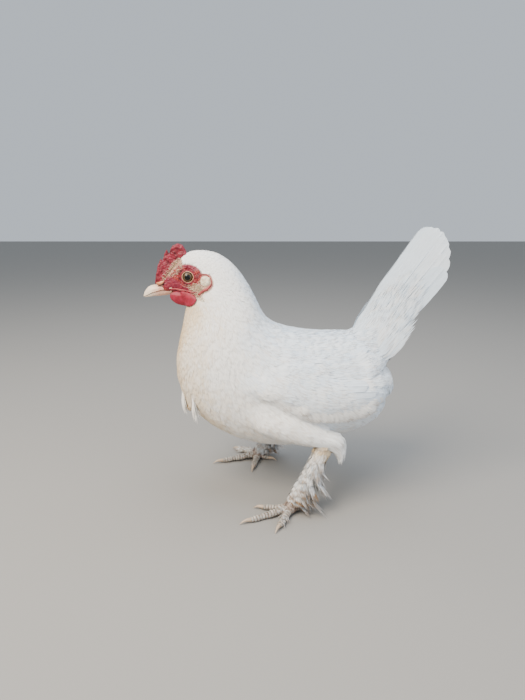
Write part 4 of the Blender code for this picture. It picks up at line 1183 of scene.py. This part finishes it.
def buildRump():
    batches = []
    for side in sides.values():
        for x, low, high, long, stand, many, rise in rump["sideRows"]:
            part = np.linspace(0, 1, many)
            spots = np.stack((x + chance.uniform(-3, 3, many), np.full(many, side * 60.0),
                              low + (high - low) * part), axis=1)
            roots = np.array([onCoat(spot) for spot in spots])
            headings = np.stack((np.ones(many), np.zeros(many), rise * (0.2 + 2.2 * part)), axis=1)
            lengths = long * chance.uniform(0.85, 1.15, many)
            batches += layFeathers(roots, headings, lengths, rump["sideWidth"], 1.2,
                                   stand * chance.uniform(0.6, 1.2, many), chance.uniform(0.15, 0.35, many), 0,
                                   {"ragged": 0.2, "roundness": 0.3}, 0.08)
    for height, long, stand, many, rise in rump["rows"]:
        widest = 74 if height < 110 else 40
        turns = np.radians(np.linspace(-widest, widest, many) + chance.uniform(-4, 4, many))
        ahead, aside = np.cos(turns), np.sin(turns)
        spots = np.stack((50 + 60 * ahead, 60 * aside, height + chance.uniform(-2, 2, many)), axis=1)
        roots = np.array([onCoat(spot) for spot in spots])
        headings = np.stack((0.3 * ahead, 0.3 * aside, np.full(many, rise)), axis=1)
        lengths = long * chance.uniform(0.85, 1.15, many)
        batches += layFeathers(roots, headings, lengths, rump["width"], 1.5,
                               stand * chance.uniform(0.7, 1.2, many), 0.25, 0,
                               {"ragged": 0.16, "roundness": 0.4}, 0.06)
    coatPiece("rumpFluff", batches, bodyFeather, "white_feather")


flankEdge = {
    # Line of the tips along the flank's lower edge, seen from the side, front to rear.
    "line": ((-24, 96), (-12, 90), (8, 83.5), (24, 79.5), (40, 80), (56, 84), (70, 92), (79, 102)),
    # How far each row starts behind the line, how far its tips stand off, and how much painted shadow their tan
    # tips get.
    "rows": ((0.0, 4.0, 1.0), (5.0, 3.2, 1.0), (10.0, 1.8, 0.6), (15.0, 0.8, 0.2)),
    "step": 4.6, "length": 20.0, "width": 6.8, "foremost": -30,
}


def buildFlankEdge():
    line = np.array(flankEdge["line"], float)
    spans = np.linalg.norm(np.diff(line, axis=0), axis=1)
    gone = np.concatenate(([0], np.cumsum(spans)))
    batches = []
    for side in sides.values():
        for back, stand, wear in flankEdge["rows"]:
            along = np.arange(0, gone[-1], flankEdge["step"]) + chance.uniform(-1, 1)
            x, z = np.interp(along, gone, line[:, 0]), np.interp(along, gone, line[:, 1])
            turn = np.radians(np.interp(along, (0, 24, 62, gone[-1]), (-40, -44, -38, -10)))
            ways = np.stack((np.cos(turn), np.zeros(len(turn)), np.sin(turn)), axis=1)
            lengths = flankEdge["length"] * chance.uniform(0.85, 1.1, len(x))
            rootX = x - ways[:, 0] * (lengths * 0.82 + back) + chance.uniform(-1.5, 1.5, len(x))
            rootZ = z - ways[:, 2] * (lengths * 0.82 + back) + chance.uniform(-1, 1, len(x))
            kept = rootX > flankEdge["foremost"]
            along, ways, lengths = along[kept], ways[kept], lengths[kept]
            roots = np.array([onCoat((rx, side * 70, rz)) for rx, rz in zip(rootX[kept], rootZ[kept])])
            # The tan tips of these rows are painted shadow lines along the flank's edge.
            batches += layFeathers(roots, ways, lengths, flankEdge["width"], 2.0,
                                   stand * smoothStep(0, 42, along), 0.47,
                                   wear * chance.uniform(0.5, 1, len(roots)),
                                   {"ragged": 0.12, "roundness": 0.35}, 0.08)
    coatPiece("flankEdge", batches, flankFeather, "white_feather")


buildBreastTufts()
buildRump()
buildFlankEdge()

# Eyes, lids, beak, comb, wattles and lobes.


def noiseShift(item, size, height, seed=0.0, ways=(1, 1, 1)):
    bird, normals = getBird(item), readVertices(item.data, "normal") * ways
    for index, place in enumerate(bird):
        bird[index] += normals[index] * height * noise.noise(Vector(place) / size + Vector((seed, 0, 0)))
    setBird(item, bird)


eyes = {
    "radius": 6.0, "bulge": 0.5, "bulgeReach": 4.6,
    # Radius, thickness and place outwards of the rings round the eye, and how far they are uneven.
    "rings": (("rim", 5.05, 0.4, 3.8, 0.06, rimFlesh), ("lid", 6.0, 0.8, 3.45, 0.2, combFlesh)),
}


def buildEyes():
    x, out, z = eyeKey[0], -eyeKey[1], eyeKey[2]
    upright = (math.radians(90), 0, 0)
    for name, side in sides.items():
        eye = addBall(f"eye{name.title()}", 48, 32, eyes["radius"], (x, side * out, z), rotation=upright)
        bird = getBird(eye)
        gone = np.hypot(bird[:, 0] - x, bird[:, 2] - z)
        bulge = eyes["bulge"] * np.clip(1 - (gone / eyes["bulgeReach"]) ** 2, 0, 1)
        bird[:, 1] += side * np.where(bird[:, 1] * side > out, bulge, 0)
        setBird(eye, bird)
        finishPiece(eye, wetEye, "iris", f"eye_{name}")
        for kind, major, minor, aside, uneven, material in eyes["rings"]:
            bpy.ops.object.select_all(action="DESELECT")
            bpy.ops.mesh.primitive_torus_add(
                major_segments=72, minor_segments=16, major_radius=major * mm, minor_radius=minor * mm,
                location=at(x, side * (out + aside), z), rotation=upright)
            ring = bpy.context.object
            ring.name = f"{kind}{name.title()}"
            settleOrigin(ring)
            bird = getBird(ring)
            bird[:, 2] = z + (bird[:, 2] - z) * 0.95
            bird[:, 1] += side * 0.14 * (bird[:, 0] - x)
            setBird(ring, bird)
            noiseShift(ring, 0.9, uneven)
            finishPiece(ring, material, "red_skin")


def mouthHeight(x):
    return np.interp(x, (-143.5, -130.5, -120.3, -116), (189.8, 192.2, 195.0, 195.6))


def headReach(x, z):
    # Half width of the form at a place seen from the side.
    hit = formTree.ray_cast(at(x, -60, z), Vector((0, 1, 0)))[0]
    return -inBird([hit])[0][1] if hit else 4.0


def buildBeak():
    # The horn's root is drawn back along the mouth to the gape, thinning to a rim that hugs the head.
    for node in ("beak_upper", "beak_lower"):
        upper = node == "beak_upper"
        beak = copyNodes("beakUpper" if upper else "beakLower", [node])
        useModifier(beak, "REMESH", mode="VOXEL", voxel_size=0.3 * mm)
        useModifier(beak, "SMOOTH", factor=0.5, iterations=4)
        bird = getBird(beak)
        part = np.clip((bird[:, 0] + 139) / 9.5, 0, 1)
        height = bird[:, 2] - mouthHeight(bird[:, 0])
        near = [np.abs(bird[:, 0] - x) < 1 for x in bird[:, 0]]
        halfWidths = np.array([np.abs(bird[:, 1])[close].max() for close in near])
        depths = np.array([np.abs(height[close]).max() for close in near])
        bird[:, 0] += 11.5 * part ** 2
        mouth = mouthHeight(bird[:, 0])
        reach = np.array([headReach(x, z) for x, z in zip(bird[:, 0], mouth + 1.5)])
        # The mouth's line stands higher than the joint of the solids.
        lift = np.interp(bird[:, 0], (-143.5, -138, -130, -117), (0.2, 2.0, 2.8, 1.6))
        if upper:
            height = lift + height * (1 - np.minimum(lift / depths, 0.7)) * (1 - 0.6 * part ** 1.6)
        else:
            height = lift + height * (1 + lift / depths) * (0.88 + 0.6 * part ** 2)
        bird[:, 2] = mouth + height
        grown = np.maximum((reach + (0.55 if upper else 0.1)) / halfWidths, 1.0)
        bird[:, 1] *= (1 + (grown - 1) * part ** 2) * (1.03 if upper else 0.93)
        setBird(beak, bird)
        finishPiece(beak, beakHorn, "horn", node)


nostril = {"place": (-129.8, 201.6), "radii": (4.0, 1.5, 1.5), "turn": 14, "slit": (3.4, 1.2, 0.6)}


def buildNostrils():
    # A fleshy flap over the root of the beak, with a dark sliver under it as painted shade in the nostril's
    # opening.
    x, z = nostril["place"]
    for name, side in sides.items():
        for key, radii, drop, material in (("nostrilFlap", nostril["radii"], 0.0, nostrilFlesh),
                                           ("nostrilSlit", nostril["slit"], 1.5, slitShade)):
            flap = addBall(f"{key}{name.title()}", 32, 20)
            points = readVertices(flap.data) / mm * radii
            points[:, 2] += 0.06 * points[:, 0] ** 2 - drop
            ahead, up = spun(points[:, 0], points[:, 2], nostril["turn"])
            out = headReach(x + 2.5, z - 1.5) - 0.4 + 0.22 * ahead + points[:, 1] * side
            setBird(flap, np.stack((x + ahead, side * out, z + up), axis=1))
            noiseShift(flap, 1.5, 0.2)
            finishPiece(flap, material, "red_skin")


comb = {
    "voxel": 0.42, "base": ((-129.0, 198.0), (-106.4, 227.0)), "slim": 0.75, "footWidth": 1.7,
    "footHeight": 5.0, "sink": 1.6, "sway": 0.9,
    # Size and height of the lumps.
    "lumps": ((3.4, 1.0), (1.5, 0.45), (0.9, 0.2)),
}


def buildComb():
    # A single comb swollen at its foot, with a wavy blade and a lumpy, grained surface.
    flesh = copyNodes("combFleshy", ["comb"])
    useModifier(flesh, "REMESH", mode="VOXEL", voxel_size=comb["voxel"] * mm)
    useModifier(flesh, "SMOOTH", factor=0.5, iterations=1)
    bird = getBird(flesh)
    base, far = np.array(comb["base"][0]), np.array(comb["base"][1])
    line = (far - base) / np.linalg.norm(far - base)
    height = np.maximum((bird[:, 0] - base[0]) * -line[1] + (bird[:, 2] - base[1]) * line[0], 0)
    foot = np.exp(-height / comb["footHeight"])
    bird[:, 1] *= comb["slim"] + comb["footWidth"] * foot
    bird[:, 1] += comb["sway"] * np.sin(bird[:, 2] / 5.0 + bird[:, 0] / 7.0) * (1 - foot)
    bird[:, 0] += line[1] * comb["sink"] * foot
    bird[:, 2] -= line[0] * comb["sink"] * foot
    setBird(flesh, bird)
    for number, (size, lift) in enumerate(comb["lumps"]):
        noiseShift(flesh, size, lift, 5.0 * number, (0.25, 1, 0.25))
    finishPiece(flesh, combFlesh, "red_skin", "comb")


wattle = {"centre": (-108.6, 190.2), "radii": (12.6, 2.8, 8.6), "turn": 4, "out": 8.0, "splay": 0.30}


def buildWattles():
    x, z = wattle["centre"]
    for name, side in sides.items():
        item = addBall(f"wattle{name.title()}", 56, 36)
        points = readVertices(item.data) / mm * wattle["radii"]
        # Thin towards its upper root and full along the rounded lower edge, which folds in a little.
        points[:, 1] *= 1 - 0.35 * smoothStep(0, 8, points[:, 2])
        points[:, 2] *= np.where(points[:, 2] > 0, 0.55, 1.0)
        ahead, up = spun(points[:, 0], points[:, 2], -wattle["turn"])
        out = wattle["out"] + wattle["splay"] * np.maximum(ahead + 3, 0) - 0.012 * np.minimum(up, 0) ** 2
        throat = np.array([headReach(x + dx, z + dz) if dx > -2 else 0.0 for dx, dz in zip(ahead, up)])
        out = np.logaddexp(out / 2, (throat + 1.0) / 2) * 2
        setBird(item, np.stack((x + ahead, side * (out + points[:, 1] * side), z + up), axis=1))
        noiseShift(item, 5.0, 0.35)
        noiseShift(item, 1.3, 0.12, 3.0)
        finishPiece(item, wattleFlesh, "red_skin", f"wattle_{name}")


def buildLobes():
    centreX, centreZ, wide, high, turn = faceKeys["lobe"]
    for name, side in sides.items():
        lobe = addBall(f"earLobe{name.title()}", 44, 30)
        points = readVertices(lobe.data) / mm * (wide, 1.7, high)
        ahead, up = spun(points[:, 0], points[:, 2], -turn)
        reach = np.array([headReach(centreX + x * 0.8, centreZ + z * 0.8) for x, z in zip(ahead, up)])
        out = side * (reach - 0.2 + points[:, 1] * side)
        setBird(lobe, np.stack((centreX + ahead, out, centreZ + up), axis=1))
        noiseShift(lobe, 2.2, 0.7)
        noiseShift(lobe, 0.8, 0.25, 5.0)
        finishPiece(lobe, lobeFlesh, "cream_skin", f"ear_lobe_{name}")


folds = {
    # Points seen from the side and a radius at each: round the ear lobe, and from the gape under the eye.
    "earFold": ((-93.2, 211.4, 0.25), (-89.5, 211.3, 0.42), (-86.0, 210.6, 0.45), (-83.0, 207.8, 0.4),
                (-81.8, 204.2, 0.35), (-83.2, 200.8, 0.7), (-87.0, 198.2, 1.3), (-91.2, 195.8, 1.4),
                (-94.8, 192.6, 0.5)),
    "gapeFold": ((-120.5, 196.2, 0.5), (-117, 197.2, 1.1), (-112.5, 196.4, 1.2), (-107, 195.6, 1.15),
                 (-101.5, 195.4, 0.9), (-97.5, 194.0, 0.4)),
}


def buildFolds():
    # Raised red edges laid on the head.
    for key, line in folds.items():
        for name, side in sides.items():
            path = [(x, side * (headReach(x, z) + 0.1), z) for x, z, _ in line]
            fold = tube(f"{key}{name.title()}", path, [radius for _, _, radius in line], 12)
            useModifier(fold, "SUBSURF", levels=2, render_levels=2)
            noiseShift(fold, 1.1, 0.35)
            noiseShift(fold, 0.6, 0.15, 4.0)
            finishPiece(fold, foldFlesh, "red_skin")


bristles = {
    # Patches seen from the side: centre, radii, turn in degrees and count. Heading and length follow.
    "patches": ((-97.5, 198.6, 7.5, 4.6, -20, 260), (-116.0, 216.0, 9.8, 4.8, 52, 430),
                (-125, 208, 5, 3.6, 60, 50), (-91.5, 201, 4.0, 6.5, 0, 110), (-96, 192.0, 7.5, 2.6, -25, 90)),
    "heading": (0.72, 0, -0.35), "length": (1.6, 3.4), "radius": 0.11, "lift": 0.4,
}


def buildBristles():
    # Sparse hair-like feathers on the bare face, each a sliver a few millimetres long.
    for name, side in sides.items():
        roots = []
        for x, z, wide, high, turn, many in bristles["patches"]:
            spin = math.radians(turn)
            far, angle = np.sqrt(chance.random(many)), chance.random(many) * 2 * math.pi
            ahead, up = far * np.cos(angle) * wide, far * np.sin(angle) * high
            roots.append(np.stack((x + ahead * math.cos(spin) - up * math.sin(spin),
                                   z + ahead * math.sin(spin) + up * math.cos(spin)), axis=1))
        roots = np.concatenate(roots)
        gone = np.hypot(roots[:, 0] - eyeKey[0], roots[:, 1] - eyeKey[2])
        roots = roots[gone > 6.6]
        many = len(roots)
        reach = np.array([headReach(x, z) for x, z in roots])
        starts = np.stack((roots[:, 0], side * (reach - 0.2), roots[:, 1]), axis=1)
        ways = np.array(bristles["heading"]) + chance.normal(0, 0.3, (many, 3))
        ways[:, 1] = side * bristles["lift"] * chance.uniform(0.5, 1.3, many)
        ways /= np.linalg.norm(ways, axis=1, keepdims=True)
        lengths = chance.uniform(*bristles["length"], many)
        ends = starts + ways * lengths[:, None]
        middles = (starts + ends) / 2 + np.array((0, side * 0.25, 0))
        places, _ = curveSpines(starts, middles, ends, steps=3)
        normals = np.repeat(np.array([[[0.0, side, 0.0]]]), many, axis=0).repeat(places.shape[1], axis=1)
        template = lockBundle(1, 0.3, 0, 0, 1.0, 0.8)
        points = dress(places, normals, template, bristles["radius"], 0, 0, 0.0)
        coatPiece(f"bristles{name.title()}", [(points, template, bristles["radius"], lengths,
                                              0.4 + 0.6 * chance.random(many), 0, unwrap(starts))],
                  bristleHorn, "white_feather")


buildEyes()
buildBeak()
buildNostrils()
buildComb()
buildWattles()
buildLobes()
buildFolds()
buildBristles()
print("head furniture made")

# Feet: claws, scutes, boots and hock tufts.

claws = {
    "lengths": {"middle": 10, "inner": 8.5, "outer": 8.5, "hallux": 8}, "radius": 1.85, "rise": 0.9,
    "drop": 1.9, "steps": 12,
}


def buildClaws():
    # Each claw is a bent, tapering cone set into the end of its toe.
    for name in sides:
        for toe in legs["toes"][name]:
            ball, heading = legPlace("balls", name), toeHeading(name, toe)
            start = np.array((ball[0], ball[1], 2.5)) + heading * (legs["toeLengths"][toe] - 1.6)
            path, radii = [], []
            for step in range(claws["steps"] + 1):
                part = step / claws["steps"]
                drop = claws["rise"] * math.sin(math.pi * part) - claws["drop"] * part ** 2
                path.append(start + heading * (claws["lengths"][toe] + 1.2) * part + (0, 0, drop))
                radii.append(max(claws["radius"] * (1 - part ** 1.5), 0.12))
            claw = tube(f"claw{name.title()}{toe.title()}", path, radii, 16)
            bird = getBird(claw)
            bird[:, 2] = np.maximum(bird[:, 2], 0.05)
            setBird(claw, bird)
            noiseShift(claw, 1.6, 0.1)
            finishPiece(claw, clawHorn, "claw_horn", f"claw_{name}_{toe}")


buildClaws()


def scuteBand(centre, heading, radius, width, wrap=110, columns=9):
    # One overlapping plate across the top of a toe.
    side = np.cross(heading, (0, 0, 1.0))
    side /= np.linalg.norm(side)
    up = np.cross(side, heading)
    # Place along the plate and lift: its outer face from root to edge, then the inner one, sunk in the toe.
    rings = ((-0.5, 0.05), (-0.15, 0.42), (0.35, 0.5), (0.5, 0.3), (0.5, None), (-0.5, None))
    points, faces = [], []
    for part, lift in rings:
        for column in range(columns):
            turn = math.radians(-wrap + 2 * wrap * column / (columns - 1))
            edge = 1 - (abs(turn) / math.radians(wrap)) ** 4
            reach = radius - 0.5 if lift is None else radius + lift * edge
            outwards = up * math.cos(turn) + side * math.sin(turn)
            points.append(centre + heading * width * part + outwards * reach)
    for row in range(len(rings)):
        nextRow = (row + 1) % len(rings)
        for column in range(columns - 1):
            a, d = row * columns + column, nextRow * columns + column
            faces.append((a, a + 1, d + 1, d))
    first = [row * columns for row in range(len(rings))]
    faces += [tuple(first), tuple(index + columns - 1 for index in first)[::-1]]
    return points, faces


def buildScutes():
    for name in sides:
        points, faces = [], []
        for toe in legs["toes"][name]:
            path, radii = toePath(name, toe)
            count = int(legs["toeLengths"][toe] / 2.6)
            for number in range(1, count):
                place = number / count * (len(path) - 1)
                low = int(place)
                centre, radius = (row[low] + (row[min(low + 1, len(row) - 1)] - row[low]) * (place - low)
                                  for row in (path, radii))
                bandPoints, bandFaces = scuteBand(centre, toeHeading(name, toe), radius + 0.05,
                                                  2.15 + 0.3 * random.random())
                faces += [tuple(index + len(points) for index in face) for face in bandFaces]
                points += [at(*point) for point in bandPoints]
        mesh = bpy.data.meshes.new("scutes")
        mesh.from_pydata(points, [], faces)
        scutes = addObject(f"toeScutes{name.title()}", mesh)
        pick(scutes)
        bpy.ops.object.mode_set(mode="EDIT")
        bpy.ops.mesh.select_all(action="SELECT")
        bpy.ops.mesh.normals_make_consistent(inside=False)
        bpy.ops.object.mode_set(mode="OBJECT")
        finishPiece(scutes, scaleHorn, "toe_skin")


buildScutes()

boots = {
    "tiers": 26, "turns": 22, "firstTurn": -120, "lastTurn": 240, "rearTurn": 22, "start": -9, "end": 48,
    "length": 10.5, "rearLength": 9.0, "flare": 0.17, "rearFlare": 0.85, "width": 4.0, "radius": 4.9,
}


def squareTo(along, middle, side):
    middle = middle - along * (along @ middle)
    middle /= np.linalg.norm(middle)
    aside = np.cross(along, middle)
    return middle, aside if aside[1] * side > 0 else -aside


def buildBoots():
    # Stiff feathers in rings round the shank, long and flaring behind, short and close in front.
    for name, side in sides.items():
        hock, ball = legPlace("hocks", name), legPlace("balls", name)
        along = (ball - hock) / np.linalg.norm(ball - hock)
        middle, aside = squareTo(along, np.array((1.0, 0, 0)), side)
        rings = np.repeat(np.linspace(0, 1, boots["tiers"]), boots["turns"])
        rounds = np.tile(np.linspace(0, 1, boots["turns"]), boots["tiers"])
        many = len(rings)
        rings = np.clip(rings + chance.normal(0, 0.05, many), 0, 1)
        turns = boots["firstTurn"] + (boots["lastTurn"] - boots["firstTurn"]) * rounds
        turns += chance.uniform(-8, 8, many)
        rear = np.clip(np.cos(np.radians(turns - boots["rearTurn"])), 0, 1) ** 1.3
        starts = boots["start"] + (boots["end"] - boots["start"]) * rings
        lengths = (boots["length"] + boots["rearLength"] * rear) * chance.uniform(0.7, 1.15, many)
        lengths *= 1 - (0.35 + 0.15 * rear) * smoothStep(0.7, 1.0, rings)
        # Round the hock they are short, close and stained.
        upper = smoothStep(7, -3, starts)
        lengths *= 1 - 0.25 * upper
        spread = boots["rearFlare"] * rear * chance.uniform(0.5, 1.2, many) * (0.2 + 1.5 * rings)
        flares = (boots["flare"] + spread) * (1 - upper)
        angle = np.radians(turns)[:, None]
        radial = middle * np.cos(angle) + aside * np.sin(angle)
        radial += chance.normal(0, 0.12, (many, 3))
        roots = hock + along * starts[:, None] + radial * (boots["radius"] + 1.8 * upper)[:, None]
        drops = lengths * (1 - 0.45 * np.minimum(flares, 1.3))
        ends = roots + along * drops[:, None] + radial * (lengths * flares)[:, None]
        middles = (roots + ends) / 2 - radial * (0.1 * lengths * rear)[:, None]
        core = (hock + along * (starts + 0.4 * lengths)[:, None])[:, None]
        places, _ = curveSpines(roots, middles, ends)
        normals = inBird(places) - core
        normals -= along * (normals @ along)[:, :, None] * 0.9
        normals /= np.linalg.norm(normals, axis=2, keepdims=True)
        wearsAndShade = np.clip(chance.random(many) ** 2 * (0.4 + rear) * (0.3 + rings)
                        + 0.3 * upper * chance.random(many)
                        + 0.5 * smoothStep(0.6, 1.0, rings) * chance.random(many), 0, 1)
        uv = np.stack((0.02 + 0.96 * (turns + 90) / 310, 0.02 + 0.45 * rings), axis=1)
        tones = chance.uniform(0.1, 0.5, many) * (1 - upper) + chance.uniform(0.7, 1.0, many) * upper
        batches = bundles(places, normals, lengths, boots["width"] + 1.6 * rear, 0.3, 0, tones, wearsAndShade, uv,
                          {"ragged": 0.3, "pointed": 0.8, "overlap": 1.3})
        coatPiece(f"boot{name.title()}", batches, bootFeather, "white_feather")


hockTuft = {
    # Roots, middles and tips of the tuft's curves for the left leg, each with how far they spread.
    "root": (13, 45.5, 68.5), "middle": (36.0, 46, 68.0), "tip": (33.5, 46, 41.5),
    "spreads": ((8.0, 9.0, 8.0), (7.4, 9.5, 6.6), (2.2, 2.4, 1.0)), "count": 150, "width": 4.6,
}


def buildHockTufts():
    for name, side in sides.items():
        many = hockTuft["count"]
        angle = np.linspace(0, 2 * math.pi, many, endpoint=False) * 7 + chance.uniform(-0.2, 0.2, many)
        far = np.sqrt(chance.uniform(0.25, 1, many))
        u, v = far * np.cos(angle), far * np.sin(angle)
        ahead = -legs["rightAhead"] if name == "right" else 0
        curves = []
        for key, (spreadX, spreadY, spreadZ) in zip(("root", "middle", "tip"), hockTuft["spreads"]):
            x, y, z = hockTuft[key]
            # Feathers on the rear of the bundle sit higher at the bend, so that it closes round.
            curves.append(np.stack((x + ahead + u * spreadX, side * y + v * spreadY, z + u * spreadZ), axis=1))
        roots, middles, ends = curves
        ends[:, 2] += 12 * chance.random(many) * far
        part = np.linspace(0, 1, 7)[:, None]
        centres = [np.array(hockTuft[key]) * (1, side, 1) + (ahead, 0, 0) for key in ("root", "middle", "tip")]
        core = centres[0] * (1 - part) ** 2 + centres[1] * 2 * part * (1 - part) + centres[2] * part ** 2
        places, normals = curveSpines(roots, middles, ends, centre=core)
        lengths = np.linalg.norm(inBird(places[:, 1:]) - inBird(places[:, :-1]), axis=2).sum(axis=1)
        freePiece(f"hockTuft{name.title()}", [(places, normals, lengths, hockTuft["width"], 0.42, 0,
                                              {"ragged": 0.2, "roundness": 0.3})], bodyFeather)


toeFeathers = {"count": 44, "firstPart": -0.1, "lastPart": 0.82, "length": 9.5, "width": 1.9, "flare": 0.55}


def buildToeFeathers():
    # Stiff straw-tipped feathers along the outer toe, and a few on the root of the middle toe.
    for name in sides:
        groups = []
        for toe, share in (("outer", 1.0), ("middle", 0.4)):
            many = int(toeFeathers["count"] * share)
            path, radii = toePath(name, toe)
            heading = toeHeading(name, toe)
            aside = np.cross(heading, (0, 0, 1.0))
            last = toeFeathers["lastPart"] * (1 if toe == "outer" else 0.4)
            parts = chance.uniform(toeFeathers["firstPart"], last, many)
            turns = chance.uniform(-75, 75, many) * (1 if toe == "outer" else 0.6)
            rows = np.clip(parts, 0, 1) * (len(path) - 1)
            low = np.minimum(rows.astype(int), len(path) - 2)
            path, radii = np.array(path), np.array(radii)
            centres = path[low] + (path[low + 1] - path[low]) * (rows - low)[:, None]
            centres += heading * np.minimum(parts, 0)[:, None] * legs["toeLengths"][toe]
            angle = np.radians(turns)[:, None]
            radial = np.cos(angle) * np.array((0, 0, 1.0)) + np.sin(angle) * aside
            roots = centres + radial * (radii[low] * 0.9)[:, None]
            lengths = toeFeathers["length"] * chance.uniform(0.6, 1.25, many) * (1 if toe == "outer" else 0.75)
            flares = toeFeathers["flare"] * chance.uniform(0.2, 1.1, many)
            ends = roots + heading * (lengths * 0.9)[:, None] + radial * (lengths * flares)[:, None]
            ends[:, 2] -= lengths * 0.22
            middles = (roots + ends) / 2 + radial * 0.9
            places, _ = curveSpines(roots, middles, ends)
            normals = np.repeat(radial[:, None], places.shape[1], axis=1)
            groups.append((places, normals, lengths, toeFeathers["width"], 0.45, chance.random(many) ** 0.7,
                           {"ragged": 0.3, "pointed": 1.1, "overlap": 0.8}))
        freePiece(f"toeFeathers{name.title()}", groups, bootFeather)


buildBoots()
buildHockTufts()
buildToeFeathers()
print("legs dressed")

# Floor, light and camera.
stage = {
    "floorCode": "8E8C88", "worldCode": "D9E2EC", "worldStrength": 0.85,
    # Power in watts, place, size in metres and colour of each lamp.
    "lamps": {"key": (26.0, (-560, -560, 900), 0.7, "FFF2E0"), "fill": (5.0, (620, -620, 480), 1.0, "EEF4FF"),
              "top": (11.0, (60, 160, 1200), 1.0, "F0F6FF")},
}


def buildStage():
    bpy.ops.object.select_all(action="DESELECT")
    bpy.ops.mesh.primitive_plane_add(size=8.0, location=(0, 0, 0))
    floor = bpy.context.object
    floor.name = "floor"
    bpy.ops.object.mode_set(mode="EDIT")
    bpy.ops.mesh.subdivide(number_cuts=4)
    bpy.ops.object.mode_set(mode="OBJECT")
    material, _, shader = startMaterial("paleFloor")
    shader.inputs["Base Color"].default_value = linear(stage["floorCode"])
    shader.inputs["Roughness"].default_value = 0.9
    floor.data.materials.append(material)
    for key, (power, place, size, code) in stage["lamps"].items():
        light = bpy.data.lights.new(key, "AREA")
        light.energy = power
        light.size = size
        light.color = linear(code)[:3]
        lamp = addObject(key, light)
        lamp.location = at(*place)
        lamp.rotation_euler = (at(0, 0, 120) - lamp.location).to_track_quat("-Z", "Y").to_euler()
    world = bpy.data.worlds.new("paleSky")
    bpy.context.scene.world = world
    world.use_nodes = True
    sky = world.node_tree.nodes["Background"]
    sky.inputs["Color"].default_value = linear(stage["worldCode"])
    sky.inputs["Strength"].default_value = stage["worldStrength"]


def buildCamera():
    # Square to the left side and a little above, 482 mm out, as the picture was taken.
    view = bpy.data.cameras.new("camera")
    view.sensor_fit = "HORIZONTAL"
    view.sensor_width = 36.0
    view.lens = 36.0 * 530 / 525
    view.clip_start = 0.001
    camera = addObject("camera", view)
    camera.location = at(-37.8, -482, 267)
    camera.rotation_euler = (math.radians(75), 0, 0)
    bpy.context.scene.camera = camera


buildStage()
buildCamera()
bpy.data.objects.remove(coatForm, do_unlink=True)
print("stage set")
